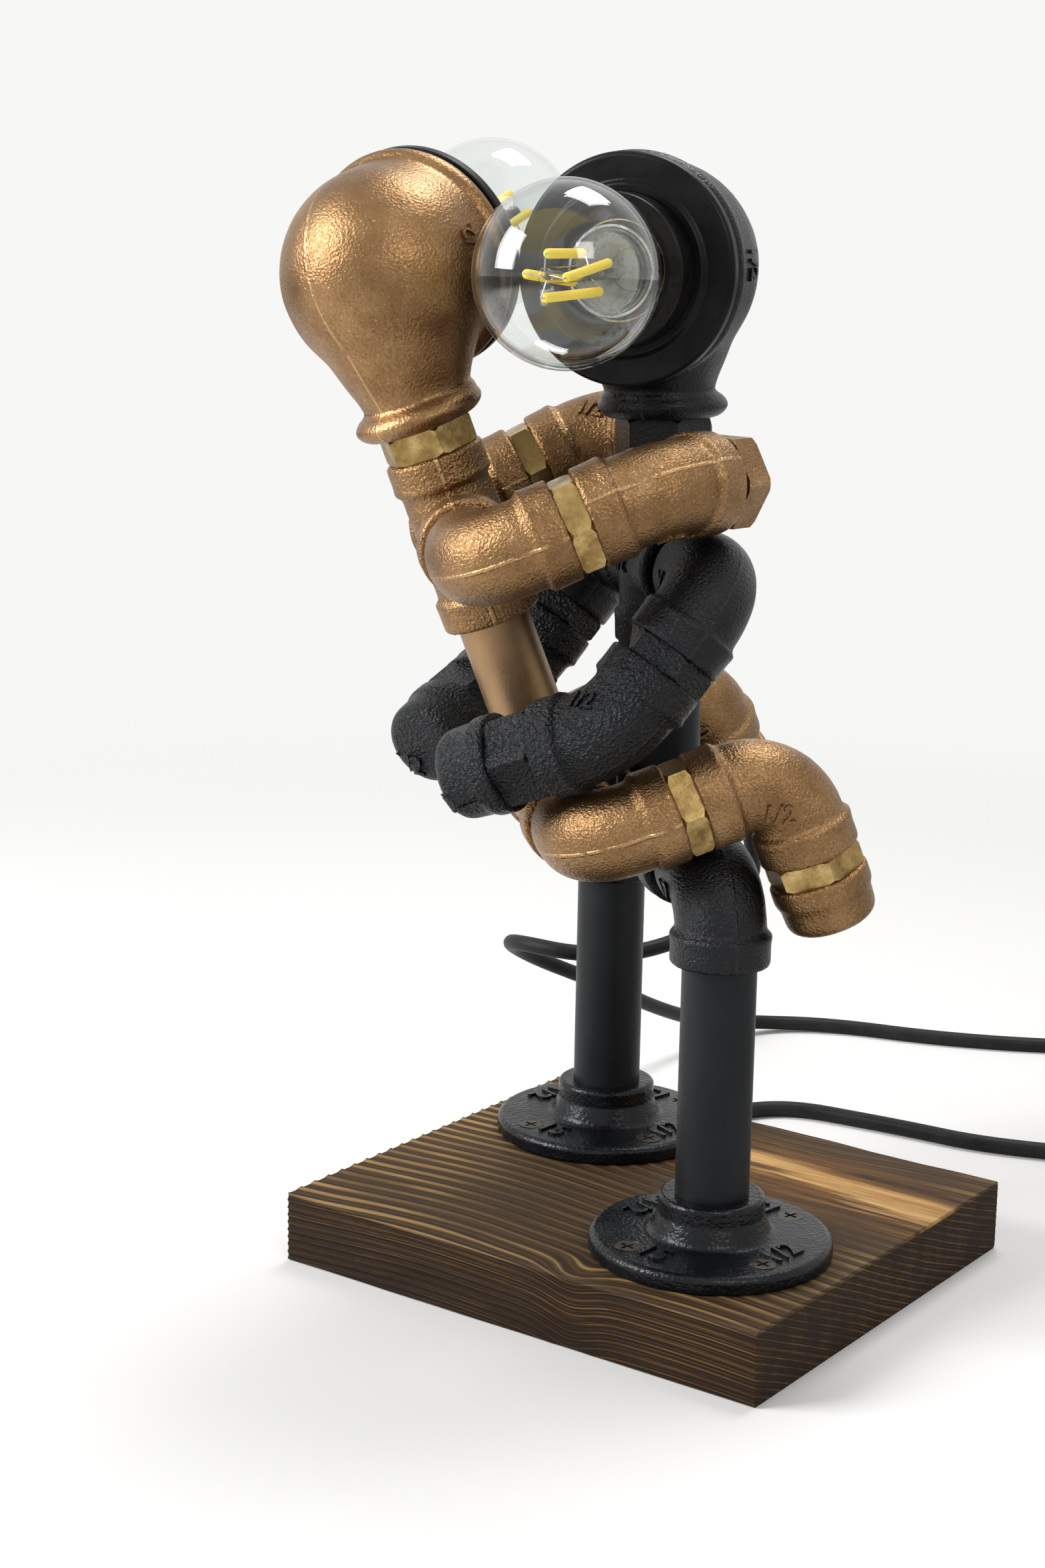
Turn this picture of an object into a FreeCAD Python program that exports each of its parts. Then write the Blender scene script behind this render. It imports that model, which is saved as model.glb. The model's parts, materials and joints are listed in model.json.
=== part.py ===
import FreeCAD, Part
import math
import os

# A table lamp made of half-inch pipe fittings: two figures that hug each other on a plank.
# The black one stands on two floor flanges. The bronze one sits on his hips, with her legs
# and arms round him. Each head is a reducing elbow that holds a screw lampholder and a globe bulb.
# Millimetres. +Z is up, +X is behind the black figure's back and -Y is the near side.
# The origin is on the plank's underside, halfway between the two legs.

Vec = FreeCAD.Vector
UP = Vec(0, 0, 1)
ORIGIN = Vec(0, 0, 0)

# ---------------------------------------------------------------- driving dimensions
# Plank
plank_length = 165.0        # along the grain
plank_width = 145.0
plank_thick = 22.0
plank_turn = -51.0          # degrees from +X to the grain
plank_centre = Vec(-2.7, -1.5, 0)
plank_edge = 1.2            # worn edge
groove_width = 8.0
groove_depth = 8.0
leg_hole_dia = 22.0

# Pipe and threads
pipe_dia = 21.3
pipe_wall = 2.7
thread_depth = 12.5         # how far a thread goes into its socket
thread_gap = 0.10           # between a thread and its socket, on the radius
bore_dia = 15.8             # way through nipples and fittings

# Cast fittings
body_dia = 26.0
collar_dia = 28.6
collar_width = 8.6
bead_rise = 0.35            # bead at the collar's inner edge
black_reach = 23.0          # centre to face, the black figure's fittings
bronze_reach = 25.4         # centre to face, the bronze figure's fittings
half_bend_reach = 20.5      # centre to face, 45 degree elbows
bend_radius = 15.0          # centre line of a 90 degree bend
half_bend_radius = 26.0     # centre line of a 45 degree bend
street_body = 23.0          # cast part of a street elbow's tail
hip_half_width = 52.5       # figure's middle to the centre of a hip or shoulder elbow

# Nipples, caps and plugs
hex_flats = 24.4
hex_length = 6.6            # hexagon of a nipple, between two faces
wrist_hex = 13.0
hex_chamfer = 0.9
hand_cap_length = 17.5
foot_cap_length = 15.5
cap_wall = 3.4
hand_plug_gap = 1.6         # bare thread behind the plug's head
hand_plug_hex = 8.5

# Floor flanges
flange_dia = 70.3
flange_thick = 5.6
flange_hub_dia = 30.8
flange_height = 17.0
flange_holes_dia = 55.0     # circle through the screw holes
screw_hole_dia = 4.6
screw_head_dia = 8.4
screw_head_depth = 2.4
screw_dia = 4.0
screw_length = 20.0
screw_turn = 13.0           # degrees from -X to the first hole
screws_per_flange = 4

# Black figure
his_heading = 180.0         # he faces -X
his_lean = -2.0             # degrees back from upright
his_hip_height = 130.1
torso_length = 84.0         # pelvis centre to shoulder centre
his_arm_swing = -52.5       # degrees above straight ahead
his_forearm_roll = 30.0     # how far the forearm turns up from straight inward
his_neck_hex = 18.5
his_head_turn = 51.2        # from straight ahead, about the neck

# Bronze figure
her_heading = -6.5
her_lean = 20.8
her_roll = 1.5              # her far side up
her_pelvis = Vec(-32.1, 3.2, his_hip_height + 13.1)
her_shoulder_twist = -3.0
her_arm_swing = {"near": 23.8, "far": 27.6}
her_forearm_roll = -27.0
her_thigh_swing = {"near": 21.3, "far": 25.8}
her_shin_roll = {"near": 0.0, "far": 24.0}
her_neck_hex = 8.0
her_head_turn = 51.0

# Heads
head_wall = 3.0
head_swell = 0.965          # the neck's cone at the dome, to the dome
head_hollow = 0.42          # share of the cone's height below its hollow
neck_bead_dia = 35.8
neck_bead_width = 7.4
neck_dia = 31.6
neck_socket_dia = 24.2
head_rise = 42.3            # bead's underside to the mouth's axis
dome_dia = 61.0
dome_offset = 9.0           # dome's centre ahead of the neck
mouth_reach = 25.2          # neck to the mouth's face
mouth_bead_dia = 65.0
mouth_bead_width = 7.0

# Lampholder and bulb
shade_ring_thick = 4.2
shade_ring_dia = 64.0
ring_spigot = 4.0           # how far the ring reaches into the mouth
holder_dia = 39.0
holder_wall = 3.6
holder_thread_dia = 42.5
holder_thread_back = 10.0   # how far the outer thread runs behind the ring's front
holder_nose = 11.0          # how far the holder stands out of the shade ring
holder_floor = 18.2         # contacts' floor behind the ring's front
holder_floor_thick = 2.5
holder_depth = 36.0         # ring's front back to the holder's end
shell_gap = 0.35            # between the screw shell and the cap's crests
shell_wall = 0.5
shell_front = 4.0           # shell's edge ahead of the ring's front
tongue_wide = 5.0
tongue_gap = 0.15
bulb_dia = 49.8
bulb_centre = 40.3          # from the ring's front
bulb_wall = 0.8
bulb_neck_dia = 23.2
bulb_neck_blend = 6.0
bulb_neck_in_cap = 4.0
stem_dia = 4.4
stem_length = 42.0
stem_disc = 1.4
stem_hole_dia = 1.6
cap_dia = 26.2
cap_front = 9.5             # cap's edge ahead of the ring's front
cap_length = 18.0
cap_wall_thick = 0.7
cap_pitch = 3.62            # of its screw
cap_thread_deep = 0.6
cap_turns = 4
insulator_length = 5.5
contact_dia = 9.0
contact_thick = 2.2
filament_dia = 2.4
filament_length = 26.0
filament_spread = 7.0       # filament's middle from the bulb's axis
filament_splay = 9.0        # degrees
filament_count = 4
filament_middle = 1.0       # their middles ahead of the bulb's centre
lead_dia = 0.6

# Cables and what is on them
cable_dia = 5.4
cable_bend = 0.45           # share of the shorter run that a bend may take
cable_lie = 0.1             # between a lying cable and the table
cable_length = 1800.0       # from the lamp to the plug
inner_cable_dia = 5.0
inner_bend = 15.0
groove_bend = 12.0
gland_gap = 0.5             # round the cable in a gland, switch or plug
gland_length = 20.0
gland_root = 6.0            # how far a gland reaches into what holds it
gland_dia = 7.8
gland_tip_dia = 7.2
gland_flange_dia = 13.0
gland_flange_thick = 2.4
gland_groove_count = 4
switch_length = 54.0
switch_width = 23.0
switch_height = 16.0
rocker_length = 19.0
rocker_width = 10.0
rocker_height = 6.5          # depth of its well
rocker_gap = 0.4
rocker_tilt = 8.0           # degrees, to the side that is pressed
coil_centre_dia = 62.0
coil_wide = 3               # turns side by side
coil_high = 3               # layers
coil_slack = 1.0
plug_length = 34.0
plug_width = 26.0
plug_height = 14.0
plug_nose = 12.0
pin_dia = 4.0
pin_length = 19.0
pin_spacing = 18.6

# ---------------------------------------------------------------- sizes that follow
pipe_radius = pipe_dia / 2
thread_radius = pipe_radius - thread_gap
body_radius = body_dia / 2
cable_radius = cable_dia / 2
flange_top = plank_thick + flange_height
flange_socket_floor = flange_top - thread_depth
neck_thread_radius = neck_socket_dia / 2 - thread_gap
mouth_dia = dome_dia - 2 * head_wall
ring_front = mouth_reach + shade_ring_thick
table_cable_z = cable_radius + cable_lie


# ---------------------------------------------------------------- helpers
def unit(vector):
    return Vec(vector).normalize()


def spin(vector, axis, degrees):
    return FreeCAD.Rotation(axis, degrees).multVec(vector)


def square_to(axis):
    """Some direction square to an axis."""
    guide = UP if abs(axis.z) < 0.9 else Vec(1, 0, 0)
    return unit(axis.cross(guide))


def joined(first, *others):
    shape = first.fuse(list(others)) if others else first
    return shape.removeSplitter()


def rounded_edges(corners, radii, closed):
    """Straight edges between corners, each corner rounded by its radius (0 leaves it sharp)."""
    count = len(corners)
    ends = []
    for i, corner in enumerate(corners):
        at_end = not closed and i in (0, count - 1)
        if at_end or radii[i] <= 0:
            ends.append((corner, None, corner))
            continue
        back = unit(corners[i - 1] - corner)
        ahead = unit(corners[(i + 1) % count] - corner)
        half_turn = (math.pi - back.getAngle(ahead)) / 2
        run = radii[i] * math.tan(half_turn)
        middle = unit(back + ahead) * (radii[i] / math.cos(half_turn) - radii[i])
        ends.append((corner + back * run, corner + middle, corner + ahead * run))
    edges = []
    for i, (start, middle, end) in enumerate(ends):
        if middle is not None:
            edges.append(Part.Arc(start, middle, end).toShape())
        if i + 1 < count or closed:
            following = ends[(i + 1) % count][0]
            if following.distanceToPoint(end) > 1e-6:
                edges.append(Part.LineSegment(end, following).toShape())
    return edges


def tube_along(points, radii, radius):
    """A round bar whose centre line is straight runs joined by arcs."""
    wire = Part.Wire(rounded_edges(points, radii, closed=False))
    ring = Part.Wire(Part.makeCircle(radius, points[0], points[1] - points[0]))
    return wire.makePipeShell([ring], True, False)


def turned(base, axis, outline):
    """A solid turned about an axis. The outline lists (along, out, corner radius)."""
    axis = unit(axis)
    side = square_to(axis)
    corners = [base + axis * along + side * out for along, out, _ in outline]
    edges = rounded_edges(corners, [radius for _, _, radius in outline], closed=True)
    return Part.Face(Part.Wire(edges)).revolve(base, axis, 360)


def bar(base, axis, start, end, diameter):
    """A round bar along an axis, from one distance to another."""
    axis = unit(axis)
    return Part.makeCylinder(diameter / 2, end - start, base + axis * start, axis)


def prism(base, axis, start, end, flats, across=None):
    """A hexagonal bar along an axis, its flats this far apart, with its corners chamfered."""
    axis = unit(axis)
    side = across or square_to(axis)
    radius = flats / math.sqrt(3)
    ring = [base + axis * start + spin(side, axis, 60 * i) * radius for i in range(7)]
    hexagon = Part.Face(Part.makePolygon(ring)).extrude(axis * (end - start))
    barrel = turned(base, axis, [
        (start, 0, 0),
        (start, radius - hex_chamfer, 0),
        (start + hex_chamfer, radius, 0),
        (end - hex_chamfer, radius, 0),
        (end, radius - hex_chamfer, 0),
        (end, 0, 0),
    ])
    return hexagon.common(barrel)


def block(centre, along, across, lengths, corner):
    """A box with its lengths along, across and up, and its upright edges rounded."""
    along = unit(along)
    across = unit(across)
    up = along.cross(across)
    half_long, half_wide = lengths[0] / 2, lengths[1] / 2
    low = centre - up * (lengths[2] / 2)
    ring = [low + along * (a * half_long) + across * (b * half_wide)
            for a, b in ((-1, -1), (1, -1), (1, 1), (-1, 1))]
    edges = rounded_edges(ring, [corner] * 4, closed=True)
    return Part.Face(Part.Wire(edges)).extrude(up * lengths[2])


# ---------------------------------------------------------------- pipe fittings
def collar(face, outward):
    """The band at a fitting's mouth, with a bead at its inner edge."""
    crest = collar_dia / 2
    inside = pipe_radius + 0.5
    return turned(face, outward, [
        (-collar_width - 1.4, inside, 0),
        (-collar_width - 1.4, body_radius - 0.3, 0),
        (-collar_width - 0.2, crest + bead_rise, 0.9),
        (-collar_width + 2.4, crest, 1.6),
        (0, crest, 0.7),
        (0, inside, 0),
    ])


def socket(face, outward):
    return bar(face, outward, -thread_depth, 0.5, pipe_dia)


def way_through(points, radii):
    """The bore of a fitting, run on past both its ends."""
    first = points[0] + unit(points[0] - points[1]) * 0.5
    last = points[-1] + unit(points[-1] - points[-2]) * 0.5
    return tube_along([first] + points[1:-1] + [last], radii, bore_dia / 2)


def elbow(centre, inlet, outlet, reach_in, reach_out, radius):
    """A bend with a socket at each end."""
    inlet, outlet = unit(inlet), unit(outlet)
    ends = [centre + inlet * reach_in, centre + outlet * reach_out]
    points = [ends[0], centre, ends[1]]
    radii = [0, radius, 0]
    solid = joined(
        tube_along(points, radii, body_radius), collar(ends[0], inlet), collar(ends[1], outlet)
    )
    return solid.cut([way_through(points, radii), socket(ends[0], inlet), socket(ends[1], outlet)])


def street_elbow(centre, tail, mouth, reach):
    """A bend with a thread on its tail and a socket at its mouth."""
    tail, mouth = unit(tail), unit(mouth)
    tail_length = hip_half_width - reach + thread_depth
    face = centre + mouth * reach
    cast_end = centre + tail * street_body
    solid = joined(
        tube_along([cast_end, centre, face], [0, bend_radius, 0], body_radius),
        collar(face, mouth),
        bar(centre, tail, street_body - 4, tail_length, 2 * thread_radius),
    )
    points = [centre + tail * tail_length, centre, face]
    return solid.cut([way_through(points, [0, bend_radius, 0]), socket(face, mouth)])


def branch_fitting(centre, ways, reach):
    """A tee or a cross: one socket in each of its ways."""
    arms = [bar(centre, way, 0, reach, body_dia) for way in ways]
    collars = [collar(centre + way * reach, way) for way in ways]
    cuts = [bar(centre, way, -1, reach + 0.5, bore_dia) for way in ways]
    cuts += [socket(centre + way * reach, way) for way in ways]
    core = Part.makeSphere(body_radius, centre)
    return joined(core, *arms, *collars).cut(cuts)


def pipe(start, end):
    """A pipe seen from one face to another, with a thread beyond each."""
    axis = unit(end - start)
    length = start.distanceToPoint(end)
    solid = joined(
        bar(start, axis, 0, length, pipe_dia),
        bar(start, axis, -thread_depth, length + thread_depth, 2 * thread_radius),
    )
    bore = pipe_dia - 2 * pipe_wall
    return solid.cut(bar(start, axis, -thread_depth - 1, length + thread_depth + 1, bore))


def hex_nipple(face, axis, length, across=None):
    """A hexagon between two faces, with a thread into each."""
    solid = joined(
        prism(face, axis, 0, length, hex_flats, across),
        bar(face, axis, -thread_depth, length + thread_depth, 2 * thread_radius),
    )
    return solid.cut(bar(face, axis, -thread_depth - 1, length + thread_depth + 1, bore_dia))


def end_cap(face, axis, length):
    """A round cap that screws over a thread and closes it."""
    crest = collar_dia / 2
    lip = 5.5
    solid = turned(face, axis, [
        (0, 0, 0),
        (0, crest, 0.7),
        (lip, crest, 1.6),
        (lip + 1.6, crest - 0.9, 1.6),
        (length, crest - 1.4, 4.0),
        (length, 0, 0),
    ])
    hollow = joined(
        bar(face, axis, -1, thread_depth, pipe_dia),
        bar(face, axis, 0, max(thread_depth, length - cap_wall), bore_dia),
    )
    return solid.cut(hollow)


def hex_plug(face, axis):
    """A plug with a hexagon head, screwed into a face."""
    head = hand_plug_gap + hand_plug_hex
    return joined(
        prism(face, axis, hand_plug_gap, head, hex_flats),
        bar(face, axis, -thread_depth, hand_plug_gap + 1, 2 * thread_radius),
    )


# ---------------------------------------------------------------- figures
class Figure:
    """One figure's own directions: ahead, near (to its side at -Y) and up its spine."""

    def __init__(self, pelvis, heading, lean, roll, reach):
        self.pelvis = pelvis
        self.reach = reach
        self.ahead = spin(Vec(1, 0, 0), UP, heading)
        level_near = spin(self.ahead, UP, 90 if self.ahead.x < 0 else -90)
        self.near = spin(level_near, self.ahead, roll)
        tilt = math.radians(lean)
        self.spine = spin(UP * math.cos(tilt) - self.ahead * math.sin(tilt), self.ahead, roll)
        self.shoulders = pelvis + self.spine * torso_length

    def side(self, name, twist=0):
        """The way out to one side, turned about the spine."""
        outward = self.near if name == "near" else self.near * -1
        return spin(outward, self.spine, twist)

    def swing(self, outward, degrees):
        """The direction of a limb that swings in the plane square to its hip or shoulder."""
        level = unit(outward.cross(UP))
        if level.dot(self.ahead) < 0:
            level = level * -1
        lift = unit(level.cross(outward))
        if lift.z < 0:
            lift = lift * -1
        angle = math.radians(degrees)
        return level * math.cos(angle) + lift * math.sin(angle)


def bent(direction, toward, degrees):
    """A direction bent by an angle toward another one."""
    level = unit(toward - direction * toward.dot(direction))
    angle = math.radians(degrees)
    return direction * math.cos(angle) + level * math.sin(angle)


him = Figure(Vec(0, 0, his_hip_height), his_heading, his_lean, 0, black_reach)
her = Figure(her_pelvis, her_heading, her_lean, her_roll, bronze_reach)
SIDES = ("near", "far")
nodes = {}


def grain_frame():
    along = spin(Vec(1, 0, 0), UP, plank_turn)
    return along, UP.cross(along)


def leg_foot(name):
    return Vec(0, -hip_half_width if name == "near" else hip_half_width, 0)


# ---------------------------------------------------------------- plank, flanges and legs
def plank():
    along, across = grain_frame()
    middle = plank_centre + UP * (plank_thick / 2)
    solid = block(middle, along, across, (plank_length, plank_width, plank_thick), 1.5)
    solid = solid.makeChamfer(plank_edge, [e for e in solid.Edges if abs(e.tangentAt(0).z) < 0.1])
    cuts = [bar(leg_foot(name), UP, -1, plank_thick + 1, leg_hole_dia) for name in SIDES]
    cuts.append(groove())
    screw_tip = plank_thick - screw_length
    cuts += [bar(spot, UP, screw_tip, plank_thick + 1, screw_dia) for spot in screw_spots()]
    return solid.cut(cuts)


def groove_exit():
    """Where the groove under the plank comes out of its back edge."""
    along, across = grain_frame()
    start = leg_foot("far")
    run = plank_width / 2 - (start - plank_centre).dot(across)
    return start + across * run


def groove():
    along, across = grain_frame()
    start = leg_foot("far")
    end = groove_exit()
    middle = (start + end) / 2 + across * 0.5 + UP * (groove_depth / 2 - 0.5)
    length = start.distanceToPoint(end) + 1
    return block(middle, across, along, (length, groove_width, groove_depth + 1), 0)


def screw_spots():
    spots = []
    for name in SIDES:
        for i in range(screws_per_flange):
            arm = spin(Vec(-flange_holes_dia / 2, 0, 0), UP, screw_turn + 360 / screws_per_flange * i)
            spots.append(leg_foot(name) + arm)
    return spots


def floor_flange(name):
    foot = leg_foot(name)
    hub = flange_hub_dia / 2
    solid = turned(foot, UP, [
        (plank_thick, 0, 0),
        (plank_thick, flange_dia / 2, 0.6),
        (plank_thick + flange_thick - 0.6, flange_dia / 2, 2.0),
        (plank_thick + flange_thick, hub + 2.2, 2.5),
        (flange_top - 5.5, hub, 2.0),
        (flange_top, hub, 1.4),
        (flange_top, 0, 0),
    ])
    cuts = [
        bar(foot, UP, plank_thick - 1, flange_top + 1, bore_dia),
        bar(foot, UP, flange_socket_floor, flange_top + 1, pipe_dia),
    ]
    for spot in screw_spots():
        if spot.distanceToPoint(foot) < flange_dia / 2:
            cuts.append(bar(spot, UP, plank_thick - 1, plank_thick + flange_thick + 1, screw_hole_dia))
            cuts.append(countersink(spot))
    return solid.cut(cuts)


def countersink(spot):
    top = plank_thick + flange_thick
    return turned(spot, UP, [
        (top - screw_head_depth, 0, 0),
        (top - screw_head_depth, screw_hole_dia / 2, 0),
        (top, screw_head_dia / 2, 0),
        (top + 1, screw_head_dia / 2, 0),
        (top + 1, 0, 0),
    ])


def flange_screw(spot):
    top = plank_thick + flange_thick - 0.3
    core = screw_dia / 2 - 0.05
    solid = turned(spot, UP, [
        (plank_thick - screw_length + 1, 0, 0),
        (plank_thick - screw_length + 4, core, 0),
        (top - screw_head_depth, core, 0),
        (top, screw_head_dia / 2 - 0.35, 0),
        (top, 0, 0),
    ])
    arm = Vec(1, 0, 0)
    slots = [block(spot + UP * top, spin(arm, UP, turn), spin(arm, UP, turn + 90), (4.6, 0.9, 2.6), 0)
             for turn in (25, 115)]
    return solid.cut(slots)


nodes["base_plank"] = plank()
nodes["floor_flanges"] = Part.makeCompound([floor_flange(name) for name in SIDES])
nodes["flange_screws"] = Part.makeCompound([flange_screw(spot) for spot in screw_spots()])
nodes["leg_pipes"] = Part.makeCompound([
    pipe(leg_foot(name) + UP * flange_top, leg_foot(name) + UP * (his_hip_height - black_reach))
    for name in SIDES
])


# ---------------------------------------------------------------- torsos
def torso(figure, twist, pelvis_node, pipe_node, shoulder_node):
    spine, reach = figure.spine, figure.reach
    hips = [figure.side(name) for name in SIDES]
    nodes[pelvis_node] = branch_fitting(figure.pelvis, hips + [spine], reach)
    nodes[pipe_node] = pipe(figure.pelvis + spine * reach, figure.shoulders - spine * reach)
    arms = [figure.side(name, twist) for name in SIDES]
    nodes[shoulder_node] = branch_fitting(figure.shoulders, arms + [spine, spine * -1], reach)


torso(him, 0, "man_pelvis_tee", "man_spine_pipe", "man_shoulder_cross")
torso(her, her_shoulder_twist, "woman_pelvis_tee", "woman_torso_pipe", "woman_shoulder_cross")

# ---------------------------------------------------------------- his legs and arms
his_nipples = []
his_caps = []
for name in SIDES:
    outward = him.side(name)
    hip = him.pelvis + outward * hip_half_width
    nodes["man_hip_elbow_" + name] = street_elbow(hip, outward * -1, UP * -1, black_reach)

    shoulder = him.shoulders + outward * hip_half_width
    arm = him.swing(outward, his_arm_swing)
    nodes["man_shoulder_elbow_" + name] = street_elbow(shoulder, outward * -1, arm, black_reach)
    his_nipples.append(hex_nipple(shoulder + arm * black_reach, arm, hex_length, outward))

    elbow_centre = shoulder + arm * (black_reach + hex_length + half_bend_reach)
    roll = math.radians(his_forearm_roll)
    lift = him.swing(outward, his_arm_swing + 90)
    forearm = bent(arm, outward * -math.cos(roll) + lift * math.sin(roll), 45)
    nodes["man_forearm_elbow_" + name] = elbow(
        elbow_centre, arm * -1, forearm, half_bend_reach, half_bend_reach, half_bend_radius
    )
    wrist = elbow_centre + forearm * half_bend_reach
    his_nipples.append(hex_nipple(wrist, forearm, wrist_hex))
    his_caps.append(end_cap(wrist + forearm * wrist_hex, forearm, hand_cap_length))
nodes["man_arm_nipples"] = Part.makeCompound(his_nipples)
nodes["man_hand_caps"] = Part.makeCompound(his_caps)

# ---------------------------------------------------------------- her legs and arms
her_nipples = []
her_plugs = []
her_feet = []
foot_face = {}
foot_axis = {}
for name in SIDES:
    outward = her.side(name)
    hip = her.pelvis + outward * hip_half_width
    thigh = her.swing(outward, her_thigh_swing[name])
    nodes["woman_hip_elbow_" + name] = street_elbow(hip, outward * -1, thigh, bronze_reach)
    her_nipples.append(hex_nipple(hip + thigh * bronze_reach, thigh, hex_length, outward))
    knee = hip + thigh * (2 * bronze_reach + hex_length)
    down = her.swing(outward, her_thigh_swing[name] - 90)
    roll = math.radians(her_shin_roll[name])
    shin = down * math.cos(roll) + outward * math.sin(roll)
    nodes["woman_knee_elbow_" + name] = elbow(
        knee, thigh * -1, shin, bronze_reach, bronze_reach, bend_radius
    )
    her_nipples.append(hex_nipple(knee + shin * bronze_reach, shin, hex_length))
    foot_face[name] = knee + shin * (bronze_reach + hex_length)
    foot_axis[name] = shin
    foot = end_cap(foot_face[name], shin, foot_cap_length)
    if name == "far":
        foot = foot.cut(bar(foot_face[name], shin, 0, foot_cap_length + 1, gland_dia))
    her_feet.append(foot)

    outward = her.side(name, her_shoulder_twist)
    shoulder = her.shoulders + outward * hip_half_width
    arm = her.swing(outward, her_arm_swing[name])
    nodes["woman_shoulder_elbow_" + name] = street_elbow(shoulder, outward * -1, arm, bronze_reach)
    her_nipples.append(hex_nipple(shoulder + arm * bronze_reach, arm, hex_length, outward))
    elbow_centre = shoulder + arm * (bronze_reach + hex_length + half_bend_reach)
    roll = math.radians(her_forearm_roll)
    lift = her.swing(outward, her_arm_swing[name] + 90)
    forearm = bent(arm, outward * -math.cos(roll) + lift * math.sin(roll), 45)
    nodes["woman_forearm_elbow_" + name] = elbow(
        elbow_centre, arm * -1, forearm, half_bend_reach, half_bend_reach, half_bend_radius
    )
    her_plugs.append(hex_plug(elbow_centre + forearm * half_bend_reach, forearm))
nodes["brass_nipples"] = Part.makeCompound(her_nipples)
nodes["woman_hand_plugs"] = Part.makeCompound(her_plugs)
nodes["woman_foot_caps"] = Part.makeCompound(her_feet)


# ---------------------------------------------------------------- heads
def cone(start, start_radius, end, end_radius):
    return Part.makeCone(start_radius, end_radius, start.distanceToPoint(end), start, end - start)


def dome(head, radius, front):
    """A round-ended barrel about the mouth's axis."""
    back = dome_offset - radius
    return turned(head.middle, head.out, [
        (back, 0, 0), (back, radius, radius), (front, radius, 0), (front, 0, 0)
    ])


def round_bead(base, axis, start, width, diameter):
    out = diameter / 2
    half = width / 2 - 0.05
    return turned(base, axis, [
        (start, 0, 0), (start, out, half), (start + width, out, half), (start + width, 0, 0)
    ])


class Head:
    """Where a head stands: its neck's foot, its mouth's axis and the point where they cross."""

    def __init__(self, figure, neck_hex, turn):
        self.up = figure.spine
        self.cross_face = figure.shoulders + self.up * figure.reach
        self.foot = self.cross_face + self.up * neck_hex
        self.neck_hex = neck_hex
        ahead = unit(figure.ahead - self.up * figure.ahead.dot(self.up))
        self.out = spin(ahead, self.up, turn)
        self.middle = self.foot + self.up * head_rise
        self.front = self.middle + self.out * ring_front


def head_casting(head):
    """A reducing elbow, hollow, with a bead round its neck and another round its mouth."""
    crown = head.middle + head.out * dome_offset
    throat = head.foot + head.up * (neck_bead_width * 0.6)
    crown_radius = dome_dia / 2
    outer = joined(
        cone(throat, neck_dia / 2, crown, crown_radius * head_swell),
        dome(head, crown_radius, mouth_reach),
        round_bead(head.middle, head.out, mouth_reach - mouth_bead_width, mouth_bead_width, mouth_bead_dia),
        round_bead(head.foot, head.up, 0, neck_bead_width, neck_bead_dia),
    )
    outer = outer.cut(bar(head.middle, head.out, mouth_reach, 3 * mouth_reach, 2 * mouth_bead_dia))
    socket_end = thread_depth + 1.5
    start = throat + (crown - throat) * head_hollow
    start_radius = neck_dia / 2 + (crown_radius * head_swell - neck_dia / 2) * head_hollow
    return outer.cut([
        cone(start, start_radius - head_wall, crown, crown_radius * head_swell - head_wall),
        dome(head, mouth_dia / 2, mouth_reach + 1),
        bar(head.foot, head.up, -1, socket_end + 8, neck_socket_dia),
    ])


def neck_nipple(head):
    """A hexagon with a thread down into the cross and a wider one up into the head."""
    solid = joined(
        prism(head.cross_face, head.up, 0, head.neck_hex, hex_flats),
        bar(head.cross_face, head.up, -thread_depth, 1, 2 * thread_radius),
        bar(head.foot, head.up, -1, thread_depth, 2 * neck_thread_radius),
    )
    way_end = head.neck_hex + thread_depth + 1
    return solid.cut(bar(head.cross_face, head.up, -thread_depth - 1, way_end, bore_dia))


# ---------------------------------------------------------------- lampholders and bulbs
def shade_ring(head):
    hole = holder_thread_dia / 2 + thread_gap
    out = shade_ring_dia / 2
    spigot = mouth_dia / 2 - thread_gap
    back = -shade_ring_thick
    return turned(head.front, head.out, [
        (back - ring_spigot, hole, 0),
        (back - ring_spigot, spigot, 0.8),
        (back, spigot, 0),
        (back, out, 0.6),
        (0, out, 1.6),
        (0, hole + 3.0, 1.0),
        (1.2, hole + 1.8, 0.6),
        (1.2, hole, 0),
    ])


def lampholder(head):
    thread = holder_thread_dia / 2
    out = holder_dia / 2
    solid = turned(head.front, head.out, [
        (-holder_depth, 0, 0),
        (-holder_depth, out, 3.0),
        (-holder_thread_back, out, 0),
        (-holder_thread_back, thread, 0.4),
        (holder_nose, thread, 0.9),
        (holder_nose, 0, 0),
    ])
    chamber = out - holder_wall
    shell = cap_dia / 2 + shell_gap + shell_wall
    behind_floor = holder_floor + holder_floor_thick
    cuts = [
        bar(head.front, head.out, shell_front + 1, holder_nose + 1, holder_thread_dia - 2 * holder_wall),
        bar(head.front, head.out, -holder_floor, shell_front + 2, 2 * shell),
        bar(head.front, head.out, -holder_depth + holder_floor_thick, -behind_floor, 2 * chamber),
        bar(head.foot, head.up, 0, head_rise, inner_cable_dia + 0.6),
        bar(head.front + head.up * (tongue_wide * 1.6), head.out, -behind_floor - 1, 0, 2.0),
    ]
    return solid.cut(cuts)


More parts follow.
